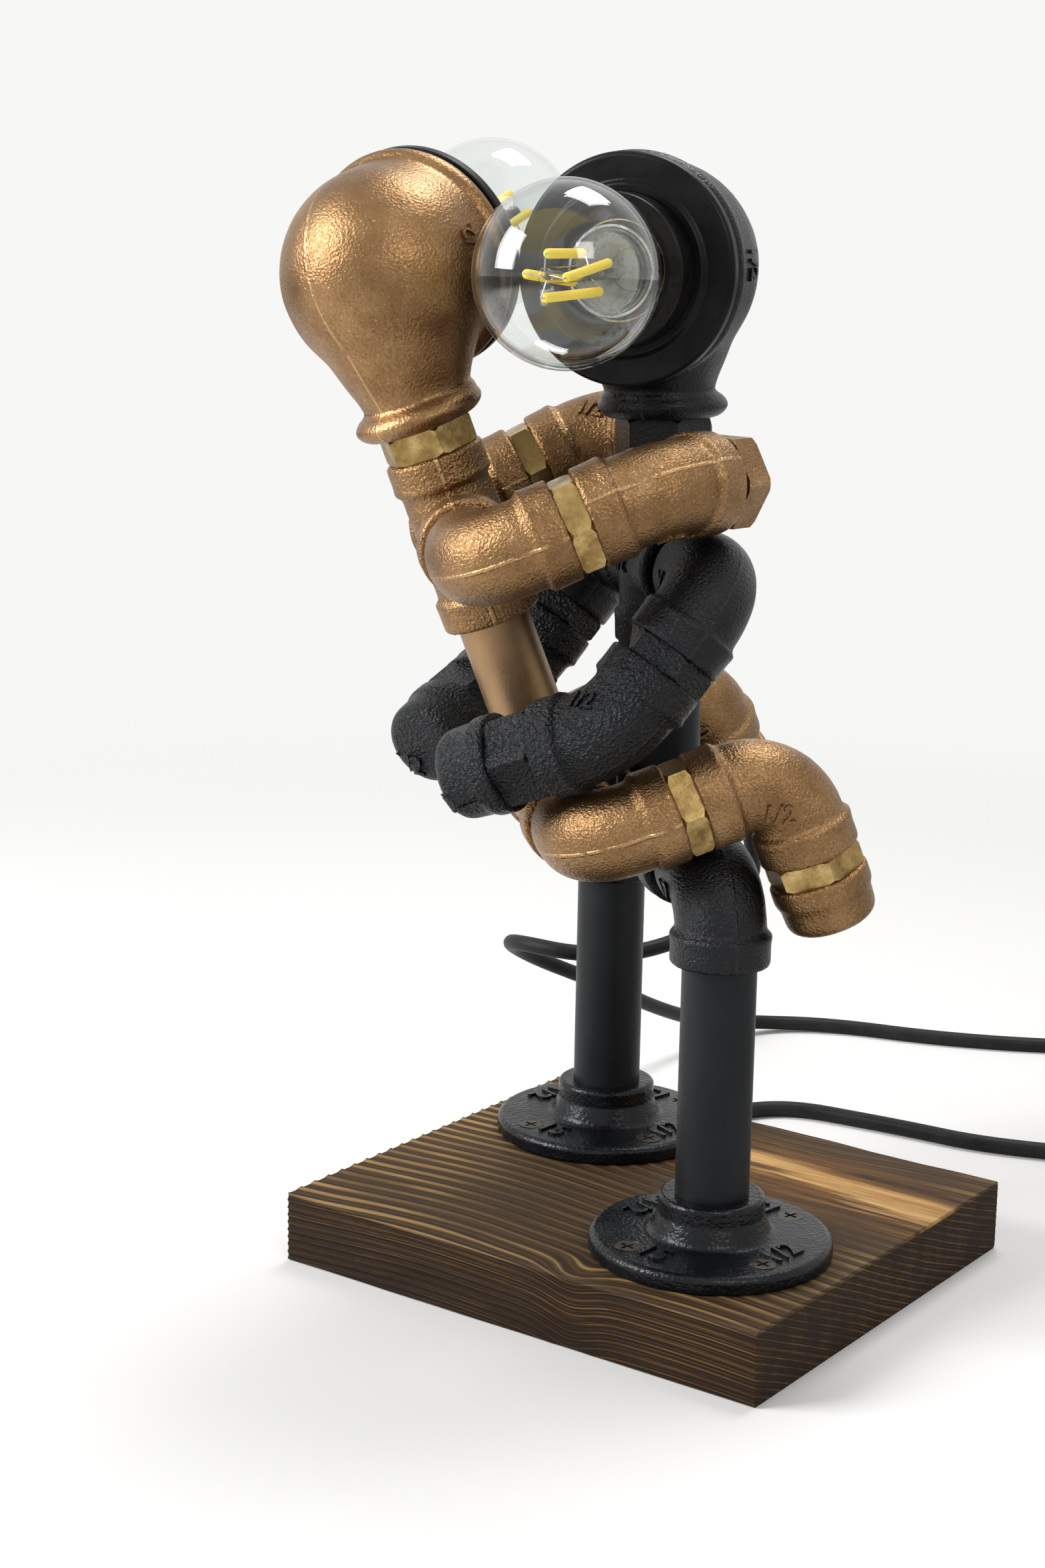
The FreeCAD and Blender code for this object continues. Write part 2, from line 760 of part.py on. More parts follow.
def holder_contacts(head):
    """The screw shell, and the tongue at the bottom that meets the bulb's contact."""
    inner = cap_dia / 2 + shell_gap
    shell = turned(head.front, head.out, [
        (-holder_floor, inner - 2.0, 0),
        (-holder_floor, inner + shell_wall, 0),
        (shell_front, inner + shell_wall, 0),
        (shell_front, inner, 0),
        (-holder_floor + 0.6, inner, 0),
        (-holder_floor + 0.6, inner - 2.0, 0),
    ])
    gap = contact_back() - tongue_gap + holder_floor
    low = head.front - head.out * (holder_floor - gap / 2)
    across = head.out.cross(head.up)
    tongue = block(low, across, head.up, (tongue_wide, tongue_wide * 2, gap), 0.8)
    return Part.makeCompound([shell, tongue])


def contact_back():
    """The bulb contact's end, from the shade ring's front."""
    return cap_front - cap_length - insulator_length - contact_thick


def glass_form(head, radius, neck_radius, start, blend):
    """A ball that runs through a hollow curve into a straight neck."""
    rise = neck_radius + blend
    back = math.sqrt((radius + blend) ** 2 - rise ** 2)
    lean = math.atan2(rise, back)

    def at(along, out):
        return head.front + head.out * along + head.up * out

    def on_ball(angle):
        return at(bulb_centre - radius * math.cos(angle), radius * math.sin(angle))

    def on_blend(angle):
        return at(bulb_centre - back + blend * math.cos(angle), rise - blend * math.sin(angle))

    half_way = (lean + math.pi / 2) / 2
    edges = [
        Part.LineSegment(at(bulb_centre + radius, 0), at(start, 0)),
        Part.LineSegment(at(start, 0), at(start, neck_radius)),
        Part.LineSegment(at(start, neck_radius), on_blend(math.pi / 2)),
        Part.Arc(on_blend(math.pi / 2), on_blend(half_way), on_blend(lean)),
        Part.Arc(on_ball(lean), on_ball((lean + math.pi) / 2), on_ball(math.pi)),
    ]
    return Part.Face(Part.Wire([edge.toShape() for edge in edges])).revolve(head.front, head.out, 360)


def bulb_glass(head):
    start = cap_front - bulb_neck_in_cap
    neck = bulb_neck_dia / 2
    outer = glass_form(head, bulb_dia / 2, neck, start, bulb_neck_blend)
    inner = glass_form(
        head, bulb_dia / 2 - bulb_wall, neck - bulb_wall, start - 1, bulb_neck_blend + bulb_wall
    )
    shell = outer.cut(inner)
    stem = joined(
        bar(head.front, head.out, start, start + stem_disc, 2 * neck - bulb_wall),
        bar(head.front, head.out, start, start + stem_disc + stem_length, stem_dia),
    )
    solid = joined(shell, stem)
    return solid.cut(bar(head.front, head.out, start - 1, start + stem_disc + 5, stem_hole_dia))


def bulb_cap(head):
    """The screw cap and, behind it, the insulator that carries the contact."""
    crest = cap_dia / 2
    back = cap_front - cap_length
    outline = [(back, 0, 0), (back, crest - 2.5, 0), (back + 2.0, crest - cap_thread_deep, 0.5)]
    for i in range(cap_turns):
        outline.append((back + 2.0 + cap_pitch * (i + 0.5), crest, 0.8))
        outline.append((back + 2.0 + cap_pitch * (i + 1), crest - cap_thread_deep, 0.8))
    outline += [(cap_front, crest - cap_thread_deep, 0), (cap_front, 0, 0)]
    solid = turned(head.front, head.out, outline)
    hollow = crest - cap_thread_deep - cap_wall_thick
    shell = solid.cut([
        bar(head.front, head.out, back + cap_wall_thick + 2.0, cap_front + 1, 2 * hollow),
        bar(head.front, head.out, back - 1, back + 4, contact_dia + 3),
    ])
    insulator = turned(head.front, head.out, [
        (back - insulator_length, 0, 0),
        (back - insulator_length, contact_dia / 2, 0.5),
        (back, crest - 2.6, 0.5),
        (back, contact_dia / 2 + 1.4, 0),
        (back + 2.0, contact_dia / 2 + 1.4, 0),
        (back + 2.0, 0, 0),
    ])
    return Part.makeCompound([shell, insulator])


def bulb_contact(head):
    back = cap_front - cap_length - insulator_length
    return turned(head.front, head.out, [
        (contact_back(), 0, 0),
        (contact_back(), contact_dia / 2 - 0.6, 0.8),
        (back, contact_dia / 2 - 0.6, 0),
        (back, 0, 0),
    ])


def bulb_filaments(head):
    """Straight filaments splayed round the stem, each carried by a lead at each end."""
    axis = head.out
    middle = head.front + axis * (bulb_centre + filament_middle)
    tip = head.front + axis * (cap_front - bulb_neck_in_cap + stem_disc + stem_length)
    parts = [bar(tip, axis, 0, 0.8, stem_dia)]
    for i in range(filament_count):
        arm = spin(head.up, axis, 360 / filament_count * (i + 0.5))
        run = unit(axis + arm * math.tan(math.radians(filament_splay)))
        centre = middle + arm * filament_spread
        start = centre - run * (filament_length / 2)
        end = centre + run * (filament_length / 2)
        parts.append(bar(start, run, 0, filament_length, filament_dia))
        hub = tip + arm * (stem_dia / 2)
        parts.append(bar(hub, end - hub, 0, hub.distanceToPoint(end), lead_dia))
        foot = start - run * 2.5
        parts.append(bar(foot, run, 0, 3.5, lead_dia))
    return joined(*parts)


def lamp(who, head):
    nodes[who + "_neck_nipple"] = neck_nipple(head)
    nodes[who + "_head_elbow"] = head_casting(head)
    nodes[who + "_shade_ring"] = shade_ring(head)
    nodes[who + "_lampholder"] = lampholder(head)
    nodes[who + "_holder_contacts"] = holder_contacts(head)
    nodes[who + "_bulb_glass"] = bulb_glass(head)
    nodes[who + "_bulb_cap"] = bulb_cap(head)
    nodes[who + "_bulb_contact"] = bulb_contact(head)
    nodes[who + "_bulb_filaments"] = bulb_filaments(head)


his_head = Head(him, his_neck_hex, his_head_turn)
her_head = Head(her, her_neck_hex, her_head_turn)
lamp("man", his_head)
lamp("woman", her_head)


# ---------------------------------------------------------------- cables
def inner_cable(points, bends):
    return tube_along(points, [0] + bends + [0], inner_cable_dia / 2)


def head_end(head):
    """The inner cable's end, inside the lampholder."""
    return head.middle - head.up * (holder_dia / 2 - holder_wall - 2)


def cable_radii(points):
    """Each bend takes its share of the shorter run beside it."""
    radii = [0]
    for before, corner, after in zip(points, points[1:], points[2:]):
        shorter = min(before.distanceToPoint(corner), corner.distanceToPoint(after))
        half_turn = (corner - before).getAngle(after - corner) / 2
        radii.append(cable_bend * shorter / math.tan(half_turn))
    return radii + [0]


def cable(points):
    return tube_along(points, cable_radii(points), cable_radius)


def gland(base, axis, flanged):
    """A tapered strain relief with grooves round it, its root inside what holds it."""
    root = gland_dia / 2 - 0.1
    tip = gland_tip_dia / 2
    edge = gland_flange_dia / 2 if flanged else root
    thick = gland_flange_thick
    outline = [(-gland_root, 0, 0), (-gland_root, root, 0), (0, root, 0)]
    if flanged:
        outline += [(0, edge, 0.4), (thick, edge, 0.4), (thick, root, 0)]
    outline += [(gland_length, tip, 0.4), (gland_length, 0, 0)]
    grooves = [
        turned(base, axis, [
            (at, tip - 0.5, 0), (at, edge, 0), (at + 1.2, edge, 0), (at + 1.2, tip - 0.5, 0)
        ])
        for at in gland_groove_places()
    ]
    solid = turned(base, axis, outline).cut(grooves)
    return solid.cut(bar(base, axis, -gland_root - 1, gland_length + 1, cable_dia + 0.3))


def gland_groove_places():
    pitch = (gland_length - 2 * gland_flange_thick) / gland_groove_count
    return [2 * gland_flange_thick + pitch * i for i in range(gland_groove_count)]


def lead_plug(end, heading):
    """A slim two-pin plug that lies flat, its nose round the cable's end."""
    across = UP.cross(heading)
    middle = Vec(end.x, end.y, plug_height / 2)
    body = block(middle + heading * (plug_nose + plug_length / 2), heading, across,
                 (plug_length, plug_width, plug_height), 5.0)
    nose = Part.makeCone(cable_radius + 1.2, plug_height / 2 - 1, plug_nose + 1, end, heading)
    solid = joined(body, nose).cut(bar(end, heading, -1, plug_nose / 2, cable_dia))
    face = middle + heading * (plug_nose + plug_length)
    roots = [face + across * (side * pin_spacing / 2) for side in (-1, 1)]
    return joined(solid, *[bar(root, heading, -2, pin_length, pin_dia) for root in roots])


def switch_parts(start, end):
    """An inline rocker switch on the middle of a straight run: its case and its rocker."""
    heading = unit(end - start)
    across = UP.cross(heading)
    middle = (start + end) / 2
    low = Vec(middle.x, middle.y, switch_height / 2)
    case = block(low, heading, across, (switch_length, switch_width, switch_height), 7.0)
    case = case.makeFillet(1.6, [e for e in case.Edges if abs(e.BoundBox.ZMin - e.BoundBox.ZMax) < 0.01])
    pivot = Vec(middle.x, middle.y, switch_height - rocker_width / 4)
    well = block(pivot + UP * (switch_height / 2 - rocker_height), heading, across,
                 (rocker_length + 2 * rocker_gap, rocker_width + 2 * rocker_gap, switch_height), 0)
    passage = bar(Vec(middle.x, middle.y, table_cable_z), heading, -switch_length, switch_length,
                  cable_dia + 2 * gland_gap)
    pin_hole = bar(pivot, across, -rocker_width / 2 - 2, rocker_width / 2 + 2, 2.2)
    case = case.cut([well, passage, pin_hole])
    half = rocker_length / 2
    rise = switch_height - pivot.z
    profile = [
        (-half + 0.6, rise + 1.4), (0, rise + 0.7), (half - 0.6, rise + 1.4),
        (half - 2, rise - rocker_height + 1), (-half + 2, rise - rocker_height + 1),
    ]
    corners = [pivot + heading * a + UP * h - across * (rocker_width / 2) for a, h in profile]
    key = Part.Face(Part.makePolygon(corners + corners[:1])).extrude(across * rocker_width)
    key.rotate(pivot, across, rocker_tilt)
    pin = bar(pivot, across, -rocker_width / 2 - 1.6, rocker_width / 2 + 1.6, 2.0)
    return case, joined(key, pin)


def coil(last, heading):
    """The ring that the coiled cable fills, beside the cable's last point and to its right."""
    width = coil_wide * cable_dia + coil_slack
    height = coil_high * cable_dia + coil_slack
    right = heading.cross(UP)
    outer = coil_centre_dia / 2 + width / 2
    centre = Vec(last.x, last.y, cable_lie) + right * (outer - cable_radius)
    inner = coil_centre_dia / 2 - width / 2
    return centre, turned(centre, UP, [
        (0, inner, 2.5), (0, outer, 2.5), (height, outer, 4.0), (height, inner, 4.0)
    ])


def coil_tangent(centre, degrees):
    """A point on the coil's outermost turn."""
    radius = coil_centre_dia / 2 + (coil_wide - 1) * cable_dia / 2
    return Vec(centre.x, centre.y, table_cable_z) + spin(Vec(radius, 0, 0), UP, degrees)


def lying(*places):
    return [Vec(x, y, table_cable_z) for x, y in places]


def hung(height, *places):
    """Points of a hanging cable, with their heights as shares of the height it hangs from."""
    return [Vec(x, y, height * share) for x, y, share in places]


def lead(who, exit_point, exit_way, flanged, route, switch_run, leave_at, tail_route):
    """A cable from its gland, through its switch and its coil, to its plug."""
    points = [exit_point] + route
    nodes[who + "_strain_relief"] = gland(exit_point, exit_way, flanged)
    case, rocker = switch_parts(points[switch_run], points[switch_run + 1])
    nodes[who + "_switch_case"] = case
    nodes[who + "_switch_rocker"] = rocker
    centre, ring = coil(points[-1], unit(points[-1] - points[-2]))
    nodes[who + "_cord_coil"] = ring
    tail = [coil_tangent(centre, leave_at)] + tail_route
    plug_way = unit(tail[-1] - tail[-2])
    nodes[who + "_plug"] = lead_plug(tail[-1], plug_way)
    pieces = [cable(points), cable(tail)]
    nodes[who + "_cord"] = Part.makeCompound(pieces)
    seen = sum(piece.Volume for piece in pieces) / (math.pi * cable_radius ** 2)
    turns = (cable_length - seen) / (math.pi * coil_centre_dia)
    print(who, "cord: bends", [round(r, 1) for r in cable_radii(points) + cable_radii(tail) if r])
    runs = sum(a.distanceToPoint(b) for line in (points, tail) for a, b in zip(line, line[1:]))
    print(who, "cord: runs", round(runs, 1), "tube", round(seen, 1), "coil turns", round(turns, 2),
          "coil centre", centre, "tail", [tuple(round(c, 2) for c in p) for p in tail])


groove_start = leg_foot("far") + UP * (groove_depth / 2)
groove_end = groove_exit() + UP * (groove_depth / 2)
_, groove_way = grain_frame()
his_route = [
    Vec(45.5, 89.3, groove_depth / 2),
] + lying(
    (60, 107), (75, 112.5), (90.5, 108.5), (105, 95), (121, 79.5), (137, 62), (165, 45),
    (218, 17.5), (245, -4), (262, -22),
)
his_tail = lying((203, -87), (180, -93))
lead("man", groove_end, groove_way, False, his_route, 8, -90, his_tail)

her_exit = foot_face["far"] + foot_axis["far"] * foot_cap_length
her_route = [her_exit + foot_axis["far"] * 27] + hung(
    her_exit.z, (60, 90, 0.656), (44, 101, 0.542), (22, 96.5, 0.511), (1, 96, 0.523),
    (-14, 110, 0.531), (-14, 130, 0.492), (0, 144, 0.412), (19, 148, 0.344), (36, 156, 0.275),
    (55, 171, 0.183), (79, 191, 0.088), (106, 208, 0.031),
) + lying((138, 202), (172, 176.5), (212, 157.5), (276, 138), (305, 121), (318, 100))
her_tail = lying((322, 52), (316, 30))
lead("woman", her_exit, foot_axis["far"], True, her_route, 16, 0, her_tail)

his_far_hip = him.pelvis + him.side("far") * hip_half_width
her_far_hip = her.pelvis + her.side("far") * hip_half_width
her_far_knee = foot_face["far"] - foot_axis["far"] * (bronze_reach + hex_length)
his_inner = inner_cable(
    [groove_end, groove_start, his_far_hip, him.pelvis, head_end(his_head)],
    [groove_bend, inner_bend, inner_bend],
)
her_inner = inner_cable(
    [her_exit, her_far_knee, her_far_hip, her.pelvis, head_end(her_head)],
    [inner_bend, inner_bend, inner_bend],
)
nodes["inner_cables"] = Part.makeCompound([his_inner, her_inner])

# ---------------------------------------------------------------- export
os.makedirs("parts", exist_ok=True)
for node, shape in nodes.items():
    for solid in shape.Solids:
        assert solid.isValid() and solid.Volume > 0, node
    shape.exportStep("parts/" + node + ".step")
print("nodes", len(nodes))
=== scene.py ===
import json
import math

import bmesh
import bpy
import numpy as np
from mathutils import Matrix, Vector, noise
from mathutils.bvhtree import BVHTree

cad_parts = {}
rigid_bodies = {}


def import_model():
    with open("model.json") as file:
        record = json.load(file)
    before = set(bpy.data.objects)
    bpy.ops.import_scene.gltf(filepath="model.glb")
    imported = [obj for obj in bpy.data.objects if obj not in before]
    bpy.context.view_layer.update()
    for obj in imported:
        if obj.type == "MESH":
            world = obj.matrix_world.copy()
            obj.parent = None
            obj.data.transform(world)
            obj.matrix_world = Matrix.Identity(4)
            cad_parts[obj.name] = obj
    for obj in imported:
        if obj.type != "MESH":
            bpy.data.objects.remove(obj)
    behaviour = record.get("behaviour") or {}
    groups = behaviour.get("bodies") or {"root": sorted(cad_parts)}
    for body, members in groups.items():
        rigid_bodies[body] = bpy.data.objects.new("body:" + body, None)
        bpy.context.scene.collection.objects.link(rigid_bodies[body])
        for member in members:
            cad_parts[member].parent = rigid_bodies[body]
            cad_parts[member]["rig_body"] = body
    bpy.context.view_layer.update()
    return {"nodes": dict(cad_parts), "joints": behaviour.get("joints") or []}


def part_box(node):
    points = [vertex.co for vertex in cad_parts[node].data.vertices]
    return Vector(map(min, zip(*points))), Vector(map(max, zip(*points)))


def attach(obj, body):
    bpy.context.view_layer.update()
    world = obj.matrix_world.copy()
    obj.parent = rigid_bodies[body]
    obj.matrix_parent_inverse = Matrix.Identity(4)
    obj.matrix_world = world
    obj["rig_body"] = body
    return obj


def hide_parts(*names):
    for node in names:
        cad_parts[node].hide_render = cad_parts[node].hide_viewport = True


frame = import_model()
bpy.context.scene.view_settings.view_transform = "Standard"

MM = 0.001
UP = Vector((0, 0, 1))
WHO = ("man", "woman")
PAIR = ("near", "far")


def clamp(value):
    return min(max(value, 0), 1)


def step(value, low, high):
    """A smooth step from 0 to 1 as a number goes from low to high, or down to high."""
    part = clamp((value - low) / (high - low))
    return part * part * (3 - 2 * part)


def upward(way):
    """The way that climbs most among those square to a given way."""
    return (UP - way * way.z).normalized()


def placed(name, data):
    made = bpy.data.objects.new(name, data)
    bpy.context.collection.objects.link(made)
    return made


def mesh_of(thing):
    """The mesh that an object's shape and modifiers make."""
    bpy.context.view_layer.update()
    seen = thing.evaluated_get(bpy.context.evaluated_depsgraph_get())
    return bpy.data.meshes.new_from_object(seen)


def applied(piece):
    """Replace a piece's mesh by what its modifiers make of it."""
    piece.data = mesh_of(piece)
    piece.modifiers.clear()


# ---------------------------------------------------------------- camera
FOCAL_PX = 3889.65
IMAGE_WIDTH = 1568
SENSOR = 36.0
NEAREST = 0.01
YAW = math.radians(74.9045)
PITCH = math.radians(11.9608)
ROLL = math.radians(1.0318)
CAMERA_AT = Vector((-0.237369, -0.716172, 0.306202))


def camera():
    """The view, from its heading, pitch and roll."""
    ahead = Vector((
        math.cos(PITCH) * math.cos(YAW), math.cos(PITCH) * math.sin(YAW), -math.sin(PITCH)
    ))
    level = ahead.cross(UP).normalized()
    upright = level.cross(ahead)
    right = level * math.cos(ROLL) + upright * math.sin(ROLL)
    up = upright * math.cos(ROLL) - level * math.sin(ROLL)
    data = bpy.data.cameras.new("camera")
    data.sensor_fit = "HORIZONTAL"
    data.sensor_width = SENSOR
    data.lens = SENSOR * FOCAL_PX / IMAGE_WIDTH
    data.clip_start = NEAREST
    seen = placed("camera", data)
    turn = Matrix((right, up, -ahead)).transposed().to_4x4()
    seen.matrix_world = Matrix.Translation(CAMERA_AT) @ turn
    bpy.context.scene.camera = seen


camera()

# ---------------------------------------------------------------- cords
CORD_DIA = 5.4 * MM
LIE = 2.8 * MM              # height of a lying cord's middle
TURN_POINTS = 16
COIL_RADIUS = 31 * MM
SLOT = 5.45 * MM            # from one turn of the coil to the next
# The coil's slots in the order that they are wound: steps out from the middle, layers up.
SLOTS = [(1, 0), (0, 0), (-1, 0), (-1, 1), (0, 1), (1, 1), (0, 2), (1, 2)]

# The routes are in millimetres.
HIS_ROUTE = [
    (28.27, 75.42, 4), (45.5, 89.3, 4), (60, 107, 2.8), (75, 112.5, 2.8), (90.5, 108.5, 2.8),
    (105, 95, 2.8), (121, 79.5, 2.8), (137, 62, 2.8), (165, 45, 2.8), (218, 17.5, 2.8),
    (245, -4, 2.8), (262, -22, 2.8),
]
HIS_COIL = (235.17, -47.34)
HIS_TAIL = [(214, -84.5, 12.2), (192, -88, 2.8), (171, -94, 2.8)]
HER_ROUTE = [
    (46.18, 66.91, 131), (58.15, 77.18, 109.09), (60, 90, 86), (44, 101, 71), (22, 96.5, 67),
    (1, 96, 68.5), (-14, 110, 69.5), (-14, 130, 64.5), (0, 144, 54), (19, 148, 45),
    (36, 156, 36), (55, 171, 24), (79, 191, 11.5), (106, 208, 4), (138, 202, 2.8),
    (172, 176.5, 2.8), (212, 157.5, 2.8), (276, 138, 2.8), (305, 121, 2.8), (318, 100, 2.8),
]
HER_COIL = (286.63, 80.58)
HER_TAIL = [(322.5, 59.5, 12.2), (320, 37, 2.8), (314.5, 16, 2.8)]


def millimetres(points):
    return [Vector(point) * MM for point in points]


def wound(centre, start, end, slots):
    """The coil's turns, clockwise from one angle to another, each easing into the next slot."""
    centre = Vector((*centre, 0)) * MM
    swept = (start - end) % math.tau + math.tau * (len(slots) - 1)
    count = round(swept / math.tau * TURN_POINTS)
    # The cord passes inside its points, so they stand a little further out.
    widen = 1 / math.cos(math.pi / TURN_POINTS)
    points = []
    for i in range(1, count + 1):
        turned = swept * i / count
        slot = min(int(turned / math.tau), len(slots) - 1)
        # A turn stays in its slot for three quarters of its way.
        ease = clamp((turned / math.tau - slot) * 4 - 3)
        out, up = slots[slot]
        next_out, next_up = slots[min(slot + 1, len(slots) - 1)]
        radius = (COIL_RADIUS + SLOT * (out + (next_out - out) * ease)) * widen
        height = LIE + SLOT * (up + (next_up - up) * ease)
        angle = start - turned
        points.append(centre + Vector((radius * math.cos(angle), radius * math.sin(angle), height)))
    return points


def cord_curve(name, points, diameter):
    curve = bpy.data.curves.new(name, "CURVE")
    curve.dimensions = "3D"
    # A point's radius counts towards the curve's own box, so it holds the thickness.
    curve.bevel_depth = 1
    curve.bevel_resolution = 5
    curve.resolution_u = 8
    curve.use_fill_caps = True
    spline = curve.splines.new("NURBS")
    spline.points.add(len(points) - 1)
    for point, place in zip(spline.points, points):
        point.co = (*place, 1)
        point.radius = diameter / 2
    spline.order_u = 3
    spline.use_endpoint_u = True
    return placed(name, curve)


def lead(who, route, centre, leave_at, tail, slots):
    """A figure's mains cord: its route, then its coil, then the tail that ends in the plug."""
    route = millimetres(route)
    entry = route[-1] - Vector((*centre, 0)) * MM
    start = math.atan2(entry.y, entry.x)
    turns = wound(centre, start, math.radians(leave_at), slots)
    piece = cord_curve(who + "_lead", route + turns + millimetres(tail), CORD_DIA)
    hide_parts(who + "_cord", who + "_cord_coil")
    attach(piece, "stand")
    return piece


leads = [
    lead("man", HIS_ROUTE, HIS_COIL, -90, HIS_TAIL, SLOTS),
    lead("woman", HER_ROUTE, HER_COIL, 0, HER_TAIL, SLOTS[:6] + SLOTS[7:]),
]


# ---------------------------------------------------------------- shader maths
class Value:
    """A shader socket that can be used in sums: each operator adds its Math node."""

    def __init__(self, shader, socket):
        self.shader = shader
        self.socket = socket

    def __add__(self, other):
        return self.shader.math("ADD", self, other)

    def __sub__(self, other):
        return self.shader.math("SUBTRACT", self, other)

    def __rsub__(self, other):
        return self.shader.math("SUBTRACT", other, self)

    def __mul__(self, other):
        return self.shader.math("MULTIPLY", self, other)

    def __pow__(self, other):
        return self.shader.math("POWER", self, other)

    def __mod__(self, other):
        return self.shader.math("FLOORED_MODULO", self, other)

    def __abs__(self):
        return self.shader.math("ABSOLUTE", self)

    __radd__ = __add__
    __rmul__ = __mul__


class Shader:
    """The nodes of one material, or of the world, laid out as they are added."""

    def __init__(self, name, kind="Material"):
        self.kind = kind
        self.owner = (bpy.data.worlds if kind == "World" else bpy.data.materials).new(name)
        self.owner.use_nodes = True
        self.tree = self.owner.node_tree
        self.tree.nodes.clear()

    def node(self, kind, inputs=None, output=0, stops=None, **settings):
        """A node of a kind: its settings, then the values or links of its inputs."""
        made = self.tree.nodes.new("ShaderNode" + kind)
        for name, value in settings.items():
            setattr(made, name, value)
        if stops:
            elements = made.color_ramp.elements
            while len(elements) < len(stops):
                elements.new(1)
            for element, (place, colour) in zip(elements, stops):
                element.position = place
                element.color = (*colour, 1)
        for name, value in (inputs or {}).items():
            if isinstance(value, Value):
                self.tree.links.new(value.socket, made.inputs[name])
            else:
                made.inputs[name].default_value = value
        return Value(self, made.outputs[output])

    def math(self, operation, *values):
        return self.node("Math", dict(enumerate(values)), operation=operation)

    def place(self):
        return self.node("TexCoord", output="Object")

    def along(self, axis, origin=(0, 0, 0)):
        """How far a point is along an axis from an origin."""
        moved = self.node(
            "VectorMath", {0: self.place(), 1: tuple(origin)}, operation="SUBTRACT"
        )
        return self.node("VectorMath", {0: moved, 1: tuple(axis)}, "Value", operation="DOT_PRODUCT")

    def noise(self, size, detail=2.0, rough=0.5, place=None):
        """Noise whose blobs are about a size across, in metres."""
        return self.node("TexNoise", {
            "Vector": place or self.place(), "Scale": 1 / size, "Detail": detail,
            "Roughness": rough,
        })

    def stretched(self, axis, ratio):
        """Places drawn out along an axis, for grain and brushed lines."""
        place = self.place()
        run = self.along(axis)
        pull = self.node(
            "VectorMath", {0: tuple(axis), "Scale": run * (1 / ratio - 1)}, operation="SCALE"
        )
        return self.node("VectorMath", {0: place, 1: pull}, operation="ADD")

    def ramp(self, value, *stops):
        return self.node("ValToRGB", {"Fac": value}, stops=stops)

    def fade(self, value, low, high, start=0.0, end=1.0):
        """A smooth step from start to end as the value goes from low to high."""
        return self.node("MapRange", {
            "Value": value, "From Min": low, "From Max": high, "To Min": start, "To Max": end,
        }, interpolation_type="SMOOTHSTEP")

    def mix(self, factor, one, other):
        """A colour between two others; the Mix node's colours are its sockets 6, 7 and 2."""
        one, other = [c if isinstance(c, Value) else (*c, 1) for c in (one, other)]
        return self.node("Mix", {0: factor, 6: one, 7: other}, 2, data_type="RGBA")

    def bump(self, height, depth, strength=1.0):
        return self.node("Bump", {"Height": height, "Distance": depth, "Strength": strength})

    def finish(self, **inputs):
        """The surface shader, with its inputs named as Base_Color for Base Color."""
        return self.output(self.node(
            "BsdfPrincipled", {name.replace("_", " "): value for name, value in inputs.items()}
        ))

    def output(self, surface):
        """Ends the nodes in a surface, and gives back their material or world."""
        end = self.tree.nodes.new("ShaderNodeOutput" + self.kind)
        self.tree.links.new(surface.socket, end.inputs["Surface"])
        return self.owner


# ---------------------------------------------------------------- the wood's layers
GRAIN_TURN = math.radians(-51)
GRAIN = Vector((math.cos(GRAIN_TURN), math.sin(GRAIN_TURN), 0))
ACROSS = Vector((-GRAIN.y, GRAIN.x, 0))
PLANK_MIDDLE = Vector((-2.7, -1.5, 0)) * MM
PLANK_SIZE = Vector((165, 145, 22)) * MM
LAYER = 2.36 * MM           # from one year's layer to the next
LAYER_SINK = 0.42           # how the layers slope down across the plank
KNOT_AT = (22 * MM, -70 * MM)
KNOT_FADE = (110, 80)       # how soon the knot's swell is gone, along and across the grain
KNOT_SWELL = 3 * MM


def layer_place(run, side, height, sine, exponent):
    """How many layers up a point lies; it works on numbers and on shader values alike."""
    wave = sine(run * 62 + 0.6) * 0.6 * MM + sine(run * 23 + side * 19) * 1.2 * MM
    knot_run = (run - KNOT_AT[0]) * KNOT_FADE[0]
    knot_side = (side - KNOT_AT[1]) * KNOT_FADE[1]
    knot = exponent((knot_run * knot_run + knot_side * knot_side) * -1) * KNOT_SWELL
    spread = sine(side * 41 + run * 5) * 0.8 * MM
    return (side * LAYER_SINK + height + wave + spread + knot) * (1 / LAYER)


TOP_FROM, TOP_FULL = 20.3 * MM, 21.1 * MM
WEDGE_SIDE = 57 * MM        # from the plank's middle to the wedge's
WEDGE_SLANT = 0.12
WEDGE_SPREAD = 0.07         # how much wider the wedge gets along the grain


def pale_wedge(s, run, side, streak, drift, fibre, under):
    """A pale golden wedge towards the plank's back edge, with scorched streaks round it."""
    wander = streak * 0.016 + drift * 0.03
    middle = side + (run - 0.06) * WEDGE_SLANT + wander - WEDGE_SIDE
    reach = s.fade(run + streak * 0.04, -0.035, 0.015)
    pale = s.fade(abs(middle) - run * WEDGE_SPREAD, 0.002, 0.008, 1, 0) * reach
    scorch = s.fade(abs(middle), 0.008, 0.026, 1, 0) * reach
    ember = s.mix(s.fade(streak, 0.35, 0.65), (0.018, 0.0075, 0.003), (0.20, 0.088, 0.026))
    golden = s.mix(
        s.fade(fibre * 0.4 + streak * 0.6, 0.35, 0.65), (0.30, 0.145, 0.045), (0.60, 0.38, 0.15)
    )
    return s.mix(pale * 0.95, s.mix(scorch * 0.8, under, ember), golden)


